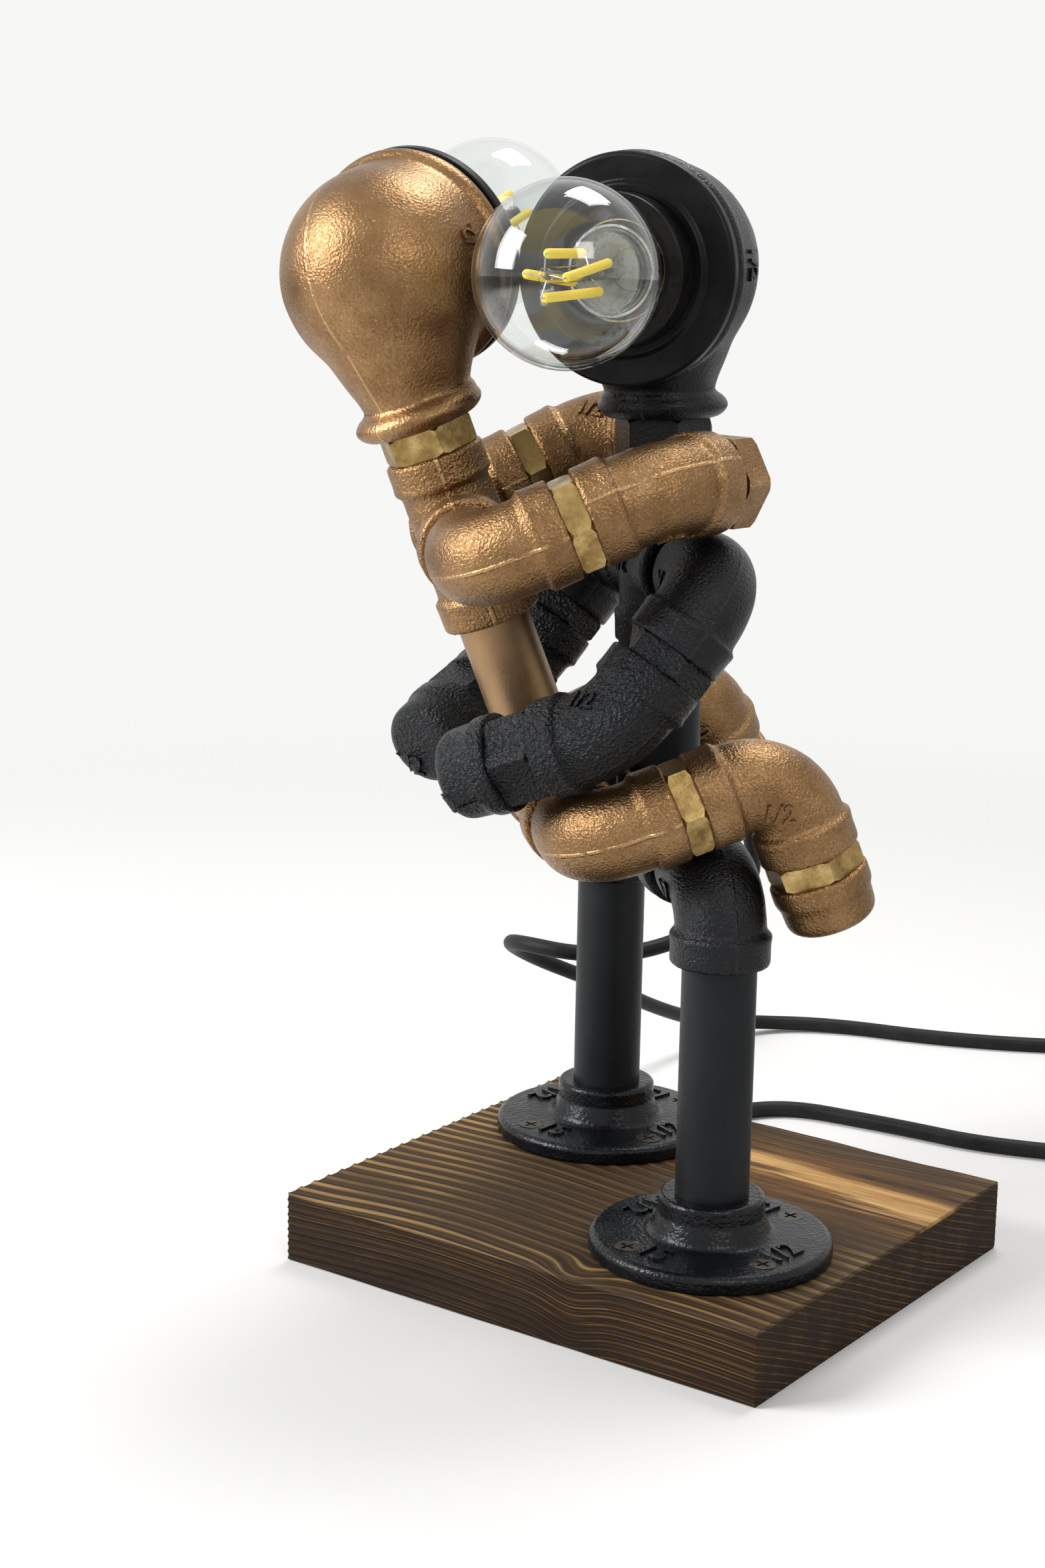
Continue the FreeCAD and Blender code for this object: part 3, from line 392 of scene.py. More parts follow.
def plank_wood():
    s = Shader("brushed_burnt_pine")
    run = s.along(GRAIN, PLANK_MIDDLE)
    side = s.along(ACROSS, PLANK_MIDDLE)
    height = s.along(UP)
    layers = layer_place(
        run, side, height,
        lambda value: s.math("SINE", value), lambda value: s.math("EXPONENT", value),
    )
    drift = s.noise(22 * MM, 3, 0.6, s.stretched(GRAIN, 7))
    streak = s.noise(4 * MM, 4, 0.65, s.stretched(GRAIN, 16))
    fibre = s.noise(0.4 * MM, 4, 0.7, s.stretched(GRAIN, 30))
    patch = s.noise(14 * MM, 2, 0.5, s.stretched(GRAIN, 4))
    part = (layers + drift * 0.5) % 1
    ridge = s.fade(part, 0.62, 0.78) * s.fade(part, 0.82, 0.96, 1, 0)
    between = (layers * 2.37 + drift * 2.5) % 1
    line = s.fade(between, 0.5, 0.8) * s.fade(between, 0.85, 1.0, 1, 0)
    top = s.fade(height, TOP_FROM, TOP_FULL)
    # Brushing left golden ridges at one end and along the front edge.
    worn = s.fade(run + streak * 0.05 + side * 0.35, -0.05, -0.01, 1, 0.1)
    worn = worn + s.fade(run + streak * 0.03, 0.078, 0.092, 0, 0.45)
    edge = s.fade(side + streak * 0.012, -0.058, -0.05, 0.7, 0)
    uneven = s.fade(patch, 0.3, 0.65, 0.25, 1)
    gold = s.mix(streak, (0.17, 0.092, 0.030), (0.42, 0.265, 0.105))
    # The sides are nearly black between thin golden lines.
    dark = s.mix(fibre, (0.0045, 0.0019, 0.0008), (0.020, 0.0085, 0.0032))
    side_lines = (ridge * 0.5 + line * 0.25 * s.fade(streak, 0.35, 0.6)) * uneven
    face = s.mix(side_lines, dark, s.mix(streak, (0.12, 0.055, 0.014), (0.34, 0.175, 0.05)))
    # The top is a dusty brown, with a dark groove at each layer.
    dusty = s.mix(s.fade(fibre, 0.3, 0.75), (0.020, 0.0115, 0.0055), (0.078, 0.047, 0.024))
    board = s.mix(s.fade(streak, 0.3, 0.7) * 0.6, dusty, (0.048, 0.025, 0.011))
    board = s.mix(s.fade(patch, 0.35, 0.65, 0, 0.35), board, (0.026, 0.013, 0.006))
    wide = s.fade(part, 0.42, 0.6) * s.fade(part, 0.84, 0.97, 1, 0) * worn
    brushed = s.mix((ridge * (edge + 0.14) + wide * 0.95 + line * 0.16) * uneven, board, gold)
    groove = s.fade(part, 0.0, 0.1, 1, 0) + s.fade(part, 0.93, 1.0)
    charred = s.mix(groove * (worn * 0.35 + 0.5), brushed, (0.008, 0.0045, 0.0025))
    burnt = pale_wedge(s, run, side, streak, drift, fibre, charred)
    colour = s.mix(top, face, s.mix(ridge * 0.12, burnt, (0.02, 0.01, 0.004)))
    return s.finish(
        Base_Color=colour, Roughness=s.fade(fibre, 0.2, 0.8, 0.5, 0.78), Specular_IOR_Level=0.14,
        Normal=s.bump(fibre * 0.55 + ridge * 0.4 + streak * 0.3, 0.4 * MM, 0.9),
    )


# ---------------------------------------------------------------- metals, plastics and glass
def parting_line(s, normal, middle, width):
    """A raised line where a casting's two moulds met, from 0 to 1."""
    wander = s.noise(9 * MM, 1) * 0.5 * MM - 0.25 * MM
    off = abs(s.along(normal, middle) + wander)
    gaps = s.fade(s.noise(4 * MM), 0.36, 0.48)
    return s.fade(off, width * 0.35, width, 1, 0) * gaps


def bronze_casting(name, grit, depth, normal, middle):
    """Bronze paint on a sand casting, worn to a paler gold on its high places, with painted shade
    darkening the grain's hollows.
    """
    s = Shader(name)
    coarse = s.noise(grit)
    patch = s.noise(17 * MM, 3, 0.6)
    seam = parting_line(s, normal, middle, 0.75 * MM)
    tone = s.ramp(
        patch, (0.25, (0.155, 0.082, 0.034)), (0.5, (0.235, 0.132, 0.058)),
        (0.75, (0.33, 0.195, 0.09)),
    )
    # The grain's hollows are darkened here: painted shade.
    low = s.mix(s.fade(coarse, 0.3, 0.5, 0.35, 0), tone, (0.085, 0.042, 0.017))
    high = s.mix(s.fade(coarse, 0.58, 0.78, 0, 0.3), low, (0.56, 0.39, 0.20))
    pit = s.fade(s.noise(3.2 * MM, 2, 0.7), 0.70, 0.76)
    colour = s.mix(seam * 0.45 + pit * 0.4, high, (0.55, 0.34, 0.17))
    height = coarse * 0.8 + seam * 0.45 - pit * 0.3
    return s.finish(
        Base_Color=colour, Metallic=0.92,
        Roughness=s.fade(coarse, 0.3, 0.7, 0.40, 0.25) + patch * 0.06,
        Normal=s.bump(height, depth),
    )


def black_casting(name, grit, depth, normal, middle, shine=0.3):
    """Black enamel over a rough iron casting, with glints painted on the grain's peaks."""
    s = Shader(name)
    coarse = s.noise(grit)
    patch = s.noise(14 * MM, 3, 0.6)
    seam = parting_line(s, normal, middle, 0.8 * MM)
    tone = s.mix(patch, (0.0018, 0.0022, 0.003), (0.005, 0.006, 0.008))
    # The grain's peaks are painted a lighter grey as painted glints; the parting line is lighter
    # too.
    colour = s.mix(s.fade(coarse, 0.62, 0.8, 0, 0.4) + seam * 0.3, tone, (0.024, 0.026, 0.029))
    height = coarse * 0.8 + seam * 0.4
    return s.finish(
        Base_Color=colour, Roughness=s.fade(patch, 0.3, 0.7, shine - 0.05, shine + 0.08),
        Specular_IOR_Level=0.24, Normal=s.bump(height, depth),
    )


def painted_pipe(name, tone, pale, shine, metal):
    """Paint on a drawn pipe, with a fine even texture."""
    s = Shader(name)
    fine = s.noise(0.55 * MM, 3, 0.6)
    cloud = s.noise(20 * MM, 3, 0.55)
    colour = s.mix(s.fade(cloud, 0.3, 0.7) * 0.7 + s.fade(fine, 0.6, 0.8) * 0.3, tone, pale)
    return s.finish(
        Base_Color=colour, Metallic=metal, Specular_IOR_Level=0.22,
        Roughness=s.fade(cloud, 0.3, 0.7, shine, shine + 0.1),
        Normal=s.bump(fine, 0.10 * MM, 0.7),
    )


def turned_brass():
    s = Shader("worn_turned_brass")
    grain = s.noise(0.7 * MM, 3, 0.6)
    stain = s.noise(6 * MM, 4, 0.65)
    colour = s.ramp(
        stain, (0.3, (0.20, 0.125, 0.042)), (0.5, (0.36, 0.24, 0.09)), (0.72, (0.55, 0.40, 0.18))
    )
    dull = s.mix(s.fade(grain, 0.55, 0.75, 0, 0.4), colour, (0.10, 0.066, 0.022))
    return s.finish(
        Base_Color=dull, Metallic=1.0, Roughness=s.fade(stain, 0.3, 0.7, 0.46, 0.27),
        Normal=s.bump(grain + stain * 0.4, 0.09 * MM, 0.8),
    )


def plain_metal(name, tone, worn, shine):
    s = Shader(name)
    stain = s.noise(3 * MM, 4, 0.6)
    fine = s.noise(0.3 * MM)
    return s.finish(
        Base_Color=s.mix(s.fade(stain, 0.35, 0.65), tone, worn), Metallic=1.0,
        Roughness=s.fade(stain, 0.3, 0.7, shine, shine + 0.18),
        Normal=s.bump(fine, 0.03 * MM, 0.6),
    )


def moulded_plastic(name, tone, pale, shine, grit=0.5 * MM):
    s = Shader(name)
    fine = s.noise(grit)
    cloud = s.noise(11 * MM, 3, 0.6)
    return s.finish(
        Base_Color=s.mix(s.fade(cloud, 0.35, 0.7) * 0.8, tone, pale), Specular_IOR_Level=0.14,
        Roughness=s.fade(cloud, 0.3, 0.7, shine, shine + 0.1),
        Normal=s.bump(fine, 0.04 * MM, 0.8),
    )


def clear_glass():
    """Clear glass that shines most where it turns away at its rim."""
    s = Shader("clear_bulb_glass")
    ripple = s.noise(22 * MM, 1)
    rim = s.node("LayerWeight", {"Blend": 0.5}, "Facing") ** 4
    clear = s.node("BsdfTransparent", {"Color": (0.965, 0.975, 0.97, 1)})
    gloss = s.node("BsdfGlossy", {
        "Color": (1, 1, 1, 1), "Roughness": 0.015, "Normal": s.bump(ripple, 0.25 * MM, 0.4),
    })
    return s.output(s.node("MixShader", {0: rim * 0.75 + 0.035, 1: clear, 2: gloss}))


def stick_yellow():
    s = Shader("filament_coating_painted_glow")
    grain = s.noise(0.5 * MM, 3)
    colour = s.mix(grain, (0.74, 0.47, 0.008), (0.92, 0.72, 0.03))
    # The sticks are given a faint glow though the bulb is off: painted light.
    return s.finish(
        Base_Color=colour, Roughness=0.45 + grain * 0.1,
        Emission_Color=colour, Emission_Strength=0.18, Normal=s.bump(grain, 0.05 * MM, 0.6),
    )


# ---------------------------------------------------------------- the plank's own mesh
BRUSHED = 0.55 * MM         # how deep brushing wore the soft layers
UNDER_LESS = 0.9            # how much less on the underside
END_LESS = 0.6              # and at the end of the grain's run
RIDGE_FROM, RIDGE_RISE, RIDGE_FALL = 0.45, 0.3, 0.2     # parts of a layer
PLANK_STEPS = 64
OUTLINE_STEP = 0.42 * MM
PLANK_CORNER = 1.4 * MM
CORNER_STEPS = 5
HIP_HALF = 52.5 * MM        # from the plank's middle line to each leg
LEG_HOLE = 22 * MM
HOLE_SIDES = 48
GROOVE_WIDTH = 8 * MM
GROOVE_HEIGHT = 8 * MM
PAST_EDGE = 2 * MM
SHARP_EDGE = math.radians(35)


def piece_of(name, mesh, smooth=False):
    """A piece made of bmesh geometry, which is used up."""
    data = bpy.data.meshes.new(name)
    bmesh.ops.recalc_face_normals(mesh, faces=mesh.faces)
    mesh.to_mesh(data)
    mesh.free()
    if smooth:
        data.shade_smooth()
        data.set_sharp_from_angle(angle=SHARP_EDGE)
    return placed(name, data)


def plank_outline():
    """Points round the plank's end, with the way out of the wood at each."""
    soft = PLANK_CORNER
    low = Vector((-PLANK_SIZE.y / 2 + soft, soft))
    high = Vector((PLANK_SIZE.y / 2 - soft, PLANK_SIZE.z - soft))
    centres = [low, Vector((high.x, low.y)), high, Vector((low.x, high.y))]
    points = []
    for i, centre in enumerate(centres):
        for j in range(CORNER_STEPS + 1):
            angle = math.radians(180 + 90 * i + 90 * j / CORNER_STEPS)
            out = Vector((math.cos(angle), math.sin(angle)))
            points.append((centre + out * soft, out))
        run = centres[(i + 1) % 4] - centre
        count = round(run.length / OUTLINE_STEP)
        points += [(centre + out * soft + run * (k / count), out) for k in range(1, count)]
    return points


def brushed_plank():
    """The plank as rings along the grain, worn in between its hard layers."""
    mesh = bmesh.new()
    outline = plank_outline()
    rings = []
    for i in range(PLANK_STEPS + 1):
        run = PLANK_SIZE.x * (i / PLANK_STEPS - 0.5)
        ring = []
        for point, out in outline:
            part = layer_place(run, point.x, point.y, math.sin, math.exp) % 1
            ridge = clamp((part - RIDGE_FROM) / RIDGE_RISE) * clamp((1 - part) / RIDGE_FALL)
            deep = BRUSHED * (1 + UNDER_LESS * min(out.y, 0)) * (1 - END_LESS * i / PLANK_STEPS)
            at = point - out * deep * (1 - ridge)
            ring.append(mesh.verts.new(
                PLANK_MIDDLE + GRAIN * run + ACROSS * at.x + Vector((0, 0, at.y))
            ))
        rings.append(ring)
    for one, other in zip(rings, rings[1:]):
        for j, low in enumerate(one):
            k = (j + 1) % len(one)
            mesh.faces.new((low, one[k], other[k], other[j]))
    mesh.faces.new(reversed(rings[0]))
    mesh.faces.new(rings[-1])
    return piece_of("brushed_plank", mesh, smooth=True)


def cut_away(plank, shape):
    """Take a shape of bmesh geometry out of the plank."""
    cutter = piece_of("cutter", shape)
    cut = plank.modifiers.new("cut", "BOOLEAN")
    cut.object = cutter
    cut.solver = "EXACT"
    applied(plank)
    bpy.data.objects.remove(cutter)


def cable_ways(plank):
    """The holes under the legs, and the groove from the far leg to the back edge."""
    for side in (-1, 1):
        hole = bmesh.new()
        bmesh.ops.create_cone(
            hole, cap_ends=True, segments=HOLE_SIDES, radius1=LEG_HOLE / 2, radius2=LEG_HOLE / 2,
            depth=PLANK_SIZE.z * 3, matrix=Matrix.Translation((0, side * HIP_HALF, 0)),
        )
        cut_away(plank, hole)
    groove = bmesh.new()
    start = Vector((0, HIP_HALF, 0))
    run = PLANK_SIZE.y / 2 - (start - PLANK_MIDDLE).dot(ACROSS) + PAST_EDGE
    middle = start + ACROSS * run / 2
    turn = Matrix((ACROSS, GRAIN, UP)).transposed().to_4x4()
    # Half of the cutter is below the plank.
    size = Matrix.Diagonal((run, GROOVE_WIDTH, GROOVE_HEIGHT * 2, 1))
    bmesh.ops.create_cube(groove, size=1, matrix=Matrix.Translation(middle) @ turn @ size)
    cut_away(plank, groove)


plank = brushed_plank()
cable_ways(plank)
plank.data.materials.append(plank_wood())
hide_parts("base_plank")
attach(plank, "stand")

# ---------------------------------------------------------------- the solid parts
nodes = frame["nodes"]


def middle_of(*names):
    """The middle of the box round some nodes."""
    corners = [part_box(name) for name in names]
    low = Vector([min(c[0][i] for c in corners) for i in range(3)])
    high = Vector([max(c[1][i] for c in corners) for i in range(3)])
    return (low + high) / 2


def joint(name):
    """A joint's own row, with its place and its axis."""
    return next(j for j in frame["joints"] if j["name"] == name)


def mould_plane(name):
    """The flat plane that a casting is even about: the one that holds all its ways."""
    data = nodes[name].data
    places = np.array([face.center for face in data.polygons])
    areas = np.array([face.area for face in data.polygons])
    middle = np.average(places, axis=0, weights=areas)
    axes = np.linalg.eigh(np.cov((places - middle).T, aweights=areas))[1]
    corners = np.array([v.co for v in data.vertices]) @ axes
    extent = corners.max(0) - corners.min(0)
    thin = int(np.argmin(extent))
    normal = axes[:, thin]
    level = (corners[:, thin].max() + corners[:, thin].min()) / 2
    return Vector(normal), Vector(normal * level)


def mouth_way(who):
    """Which way a head's mouth faces."""
    screw = joint(who + "_bulb_screw")
    out = Vector(screw["axis"]).normalized()
    ahead = Vector(screw["pos_m"]) - middle_of(who + "_head_elbow")
    return out if ahead.dot(out) > 0 else -out


def head_plane(who):
    """The plane of a head's neck and mouth."""
    head = middle_of(who + "_head_elbow")
    neck = middle_of(who + "_neck_nipple")
    ring = middle_of(who + "_shade_ring")
    return (neck - head).cross(ring - head).normalized(), head


def finish_with(material, *names):
    """Gives nodes a finish in place of their plain one."""
    for name in names:
        data = nodes[name].data
        data.materials.clear()
        data.materials.append(material)


HIS_CASTINGS = ["man_pelvis_tee", "man_shoulder_cross"] + [
    f"man_{place}_elbow_{side}" for place in ("hip", "shoulder", "forearm") for side in PAIR
]
HER_CASTINGS = ["woman_pelvis_tee", "woman_shoulder_cross"] + [
    f"woman_{place}_elbow_{side}"
    for place in ("shoulder", "hip", "forearm", "knee") for side in PAIR
]

# ---------------------------------------------------------------- castings
VOXEL = 0.75 * MM
SOFTEN = 3                  # rounds of smoothing
UNEVEN = 4 * MM             # how wide the skin's hollows are
SKIN_SINK = 0.8             # how far in the skin lies as a whole, in its own roughness
# A head, in millimetres up from its foot: the bead, the waist above it and the eased neck.
BEAD_AT, BEAD_WIDE, BEAD_SWELL = 3.7, 2.6, 0.9
WAIST_BELOW, WAIST_ABOVE, WAIST_DEEP = (6.2, 8.6), (22, 9.5), 1.5
EASED_BELOW, EASED_ABOVE = (13, 20), (48, 36)
EASED_BEHIND = (15, 9)      # from the neck's middle line towards the mouth
EASE = 140                  # rounds of smoothing
BORE = 14 * MM              # what is nearer to the middle line is the inside


def shape_head(piece, who):
    """Rounds a head's bead, cuts a waist above it and eases the neck into the dome."""
    turn = joint(who + "_head_turn")
    base, up = Vector(turn["pos_m"]), Vector(turn["axis"]).normalized()
    out = mouth_way(who)
    places = [vertex.co - base for vertex in piece.data.vertices]
    if sum(place.dot(up) for place in places) < 0:
        up = -up
    foot = min(place.dot(up) for place in places)
    group = piece.vertex_groups.new(name="eased")
    for vertex, place in zip(piece.data.vertices, places):
        rise = (place.dot(up) - foot) / MM
        around = place - up * place.dot(up)
        if rise < WAIST_ABOVE[0] and around.length > BORE:
            swell = math.exp(-((rise - BEAD_AT) / BEAD_WIDE) ** 2) * BEAD_SWELL
            waist = step(rise, *WAIST_BELOW) * step(rise, *WAIST_ABOVE) * WAIST_DEEP
            vertex.co += around.normalized() * (swell - waist) * MM
        neck = step(rise, *EASED_BELOW) * step(rise, *EASED_ABOVE)
        weight = neck * step(place.dot(out) / MM, *EASED_BEHIND)
        if weight > 0:
            group.add([vertex.index], weight, "REPLACE")
    smooth = piece.modifiers.new("ease", "SMOOTH")
    smooth.iterations = EASE
    smooth.vertex_group = group.name
    applied(piece)
    piece.data.shade_smooth()


def cast_piece(name, material, rough):
    """A casting's solid with its edges softened and its skin a little uneven."""
    piece = placed(name + "_cast", nodes[name].data.copy())
    remesh = piece.modifiers.new("even", "REMESH")
    remesh.mode = "VOXEL"
    remesh.voxel_size = VOXEL
    smooth = piece.modifiers.new("soften", "SMOOTH")
    smooth.iterations = SOFTEN
    applied(piece)
    if name.endswith("head_elbow"):
        shape_head(piece, name.split("_")[0])
    data = piece.data
    data.shade_smooth()
    moves = [
        vertex.normal * rough * (noise.noise(vertex.co / UNEVEN) - SKIN_SINK)
        for vertex in data.vertices
    ]
    for vertex, move in zip(data.vertices, moves):
        vertex.co += move
    data.materials.clear()
    data.materials.append(material)
    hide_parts(name)
    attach(piece, nodes[name]["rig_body"])
    return piece


# A plane a metre up, for pieces that show no parting line.
NO_SEAM = (UP, UP)
casts = {}
for name in HIS_CASTINGS:
    grit, depth, rough = (1.0, 1.9, 0.12) if "forearm" in name else (0.8, 0.6, 0.05)
    skin = black_casting(name + "_enamel", grit * MM, depth * MM, *mould_plane(name))
    casts[name] = cast_piece(name, skin, rough * MM)
for name in HER_CASTINGS:
    coarse = "cross" in name or "tee" in name
    grit, depth, rough = (0.85, 0.8, 0.08) if coarse else (0.75, 0.5, 0.05)
    skin = bronze_casting(name + "_bronze", grit * MM, depth * MM, *mould_plane(name))
    casts[name] = cast_piece(name, skin, rough * MM)
for name, make_skin, finish, grit, depth, plane in (
    ("man_head_elbow", black_casting, "man_head_enamel", 0.8, 0.4, head_plane("man")),
    ("woman_head_elbow", bronze_casting, "woman_head_bronze", 0.8, 0.3, head_plane("woman")),
    ("man_hand_caps", black_casting, "cap_enamel", 1.0, 1.5, NO_SEAM),
    ("woman_foot_caps", bronze_casting, "foot_bronze", 0.8, 0.6, NO_SEAM),
):
    skin = make_skin(finish, grit * MM, depth * MM, *plane)
    casts[name] = cast_piece(name, skin, 0.05 * MM)
finish_with(
    black_casting("flange_enamel", 1.2 * MM, 0.35 * MM, *NO_SEAM, shine=0.24), "floor_flanges"
)
finish_with(black_casting("neck_enamel", 0.8 * MM, 0.4 * MM, *NO_SEAM), "man_neck_nipple")
finish_with(bronze_casting("plug_bronze", 0.8 * MM, 0.5 * MM, *NO_SEAM), "woman_hand_plugs")

NEAR_HEXAGON = 17 * MM


def finish_arm_nipples():
    """The near upper arm's hexagon is glossy, and the node's other ones are rough."""
    finish_with(black_casting("wrist_enamel", 1.0 * MM, 1.5 * MM, *NO_SEAM), "man_arm_nipples")
    data = nodes["man_arm_nipples"].data
    data.materials.append(
        black_casting("gloss_enamel", 2.0 * MM, 0.05 * MM, *NO_SEAM, shine=0.12)
    )
    spot = middle_of("man_shoulder_elbow_near", "man_forearm_elbow_near")
    for face in data.polygons:
        face.material_index = int((face.center - spot).length < NEAR_HEXAGON)


finish_arm_nipples()

# ---------------------------------------------------------------- raised size marks
MARK_HEIGHT = 7.2 * MM
MARK_RISE = 0.8 * MM
MARK_SINK = 0.5 * MM
MARK_BOLD = 0.12 * MM
MARK_ROUND = 0.16 * MM
MARK_DROP = 40 * MM         # how far off the figures are dropped onto the casting
CAP_MARK = 9 * MM
CAP_REACH = 18 * MM         # a cap is within this of its own middle
HEAD_MARK = 8 * MM
HEAD_MARK_BACK = 15 * MM    # behind the shade ring's middle
FLANGE_MARK = 10.5 * MM
FLANGE_MARK_TURN = 45 - 13  # degrees, clear of the screws
FLANGE_MARK_OUT = 25.5 * MM
FLANGE_TOP = 28 * MM
marks = []


def raised_mark(name, figures, at, out, up, height):
    """Raised figures that follow a casting's surface and ride with it."""
    piece = casts.get(name, nodes[name])
    curve = bpy.data.curves.new("mark", "FONT")
    curve.body = figures
    curve.size = height
    curve.align_x = "CENTER"
    curve.align_y = "CENTER"
    curve.extrude = 1 * MM
    curve.offset = MARK_BOLD
    curve.resolution_u = 6
    shape = placed("mark", curve)
    data = mesh_of(shape)
    bpy.data.objects.remove(shape)
    right = up.cross(out).normalized()
    surface = BVHTree.FromPolygons(
        [v.co for v in piece.data.vertices], [f.vertices for f in piece.data.polygons]
    )
    for vertex in data.vertices:
        flat = at + right * vertex.co.x + up * vertex.co.y
        hit = surface.ray_cast(flat + out * MARK_DROP, -out)[0] or flat
        vertex.co = hit + out * (MARK_RISE if vertex.co.z > 0 else -MARK_SINK)
    marks.append(piece.name)
    mark = placed(f"{piece.name}_mark_{marks.count(piece.name)}", data)
    bevel = mark.modifiers.new("worn", "BEVEL")
    bevel.width = MARK_ROUND
    bevel.segments = 2
    mark.data.materials.append(piece.data.materials[0])
    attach(mark, nodes[name]["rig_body"])


def solid_middle(name, spot):
    """The middle of the one of a node's two solids that is nearer to a spot."""
    places = [v.co for v in nodes[name].data.vertices]
    places.sort(key=lambda place: (place - spot).length)
    half = places[:len(places) // 2]
    return sum(half, Vector()) / len(half)


def mark_cap(side):
    """A mark on the flat end of the cap at one hand."""
    elbow = middle_of("man_forearm_elbow_" + side)
    middle = solid_middle("man_hand_caps", elbow)
    out = (middle - elbow).normalized()
    places = [v.co for v in nodes["man_hand_caps"].data.vertices]
    cap_places = [place for place in places if (place - middle).length < CAP_REACH]
    end = max(cap_places, key=lambda place: place.dot(out))
    raised_mark("man_hand_caps", "1/2", end, out, upward(out), CAP_MARK)


def mark_head(who):
    """A mark on each side of a head."""
    out = mouth_way(who)
    normal = head_plane(who)[0]
    spot = middle_of(who + "_shade_ring") - out * HEAD_MARK_BACK
    for way in (normal, -normal):
        raised_mark(who + "_head_elbow", "1/2", spot, way, -out, HEAD_MARK)


def mark_flange(side):
    """Four marks round a floor flange, between its screws."""
    for i, figures in enumerate(("15", "1/2") * 2):
        turn = Matrix.Rotation(math.radians(90 * i + FLANGE_MARK_TURN), 3, "Z")
        arm = turn @ Vector((-1, 0, 0))
        spot = Vector((0, side * HIP_HALF, FLANGE_TOP)) + arm * FLANGE_MARK_OUT
        raised_mark("floor_flanges", figures, spot, UP, -arm, FLANGE_MARK)


for name in HIS_CASTINGS + HER_CASTINGS:
    normal = mould_plane(name)[0]
    for way in (normal, -normal):
        raised_mark(name, "1/2", middle_of(name), way, upward(way), MARK_HEIGHT)
for side in PAIR:
    mark_cap(side)
for who in WHO:
    mark_head(who)
for side in (-1, 1):
    mark_flange(side)

# ---------------------------------------------------------------- filaments
STICKS = 4
STICK_LENGTH = 31 * MM
STICK_RADIUS = 1.3 * MM
STICK_OUT = 5.4 * MM        # from the bulb's middle line
STICK_SKEW = -3.1 * MM
STICK_TURN = 12             # degrees, of the first one
FRONT, BACK = 54 * MM, 24 * MM      # the sticks' wires meet the stem here
STEM_RADIUS = 1.1 * MM
STEM_FOOT = 8 * MM
STEM_TIP = (2.1 * MM, 1.5 * MM, 1.2 * MM)   # radius, and how far it goes back and on
END_WIRE, LEAD_WIRE = 0.22 * MM, 0.2 * MM
COATED, WIRED, GLAZED = range(3)    # the set's three finishes
WIRE_SIDES = 6
ROD_SIDES = 12
TIP_SIDES = 16


def rod(mesh, start, end, radius, finish, sides=ROD_SIDES, ends=0.6):
    """A round rod with rounded ends, its rings joined one to the next."""
    axis = end - start
    turn = axis.to_track_quat("Z", "Y").to_matrix()
    tip = min(radius * ends, axis.length / 3)
    places = [
        (0, 0.35), (tip * 0.3, 0.8), (tip, 1),
        (axis.length - tip, 1), (axis.length - tip * 0.3, 0.8), (axis.length, 0.35),
    ]
    rings = []
    for along, share in places:
        rings.append([
            mesh.verts.new(start + turn @ Vector((
                radius * share * math.cos(math.tau * i / sides),
                radius * share * math.sin(math.tau * i / sides), along,
            ))) for i in range(sides)
        ])
    faces = [mesh.faces.new(rings[0][::-1]), mesh.faces.new(rings[-1])]
    for one, other in zip(rings, rings[1:]):
        for i in range(sides):
            j = (i + 1) % sides
            faces.append(mesh.faces.new((one[i], one[j], other[j], other[i])))
    for face in faces:
        face.material_index = finish


def filament_set(who, finishes):
    """Yellow sticks skewed round a glass stem, with their wires."""
    screw = joint(who + "_bulb_screw")
    axis = Vector(screw["axis"]).normalized()
    ring = Vector(screw["pos_m"])
    mesh = bmesh.new()
    front = ring + axis * FRONT
    back = ring + axis * BACK
    for i in range(STICKS):
        turn = Matrix.Rotation(math.radians(360 / STICKS * i + STICK_TURN), 3, axis)
        arm = turn @ upward(axis)
        skew = axis.cross(arm) * STICK_SKEW
        lead_in = front + arm * STICK_OUT + skew / 2
        lead_out = lead_in - axis * STICK_LENGTH - skew
        rod(mesh, lead_in, lead_out, STICK_RADIUS, COATED)
        away = (lead_in - lead_out).normalized()
        for end, way, meet in (
            (lead_in, away, front + arm * 1.2 * MM), (lead_out, -away, back + arm * 1.6 * MM),
        ):
            rod(mesh, end - way * 0.5 * MM, end + way * 1.6 * MM, END_WIRE, WIRED, WIRE_SIDES)
            rod(mesh, end + way * 1.4 * MM, meet, LEAD_WIRE, WIRED, WIRE_SIDES)
    radius, before, beyond = STEM_TIP
    rod(mesh, front - axis * before, front + axis * beyond, radius, GLAZED, TIP_SIDES, 0.9)
    rod(mesh, back - axis * STEM_FOOT, front, STEM_RADIUS, GLAZED)
    piece = piece_of(who + "_filament_set", mesh, smooth=True)
    for material in finishes:
        piece.data.materials.append(material)
    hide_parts(who + "_bulb_filaments")
    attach(piece, who + "_bulb")


# ---------------------------------------------------------------- finishes
finish_with(
    painted_pipe("matt_black_pipe", (0.0025, 0.0034, 0.0046), (0.0065, 0.0086, 0.0112), 0.4, 0.0),
    "leg_pipes", "man_spine_pipe",
)
finish_with(
    painted_pipe("bronze_pipe", (0.25, 0.155, 0.08), (0.36, 0.23, 0.125), 0.34, 0.9),
    "woman_torso_pipe",
)
finish_with(turned_brass(), "brass_nipples", "woman_neck_nipple")
finish_with(
    plain_metal("dark_screw_steel", (0.045, 0.042, 0.038), (0.12, 0.10, 0.085), 0.36),
    "flange_screws",
)
shade = moulded_plastic("shade_black", (0.0025, 0.0025, 0.0028), (0.006, 0.006, 0.0065), 0.3)
holder = moulded_plastic("holder_black", (0.0035, 0.003, 0.003), (0.009, 0.008, 0.0075), 0.24)
cable = moulded_plastic(
    "cable_black", (0.009, 0.009, 0.009), (0.018, 0.018, 0.018), 0.42, 0.8 * MM
)
fitting = moulded_plastic("plug_black", (0.012, 0.012, 0.012), (0.024, 0.024, 0.024), 0.36)
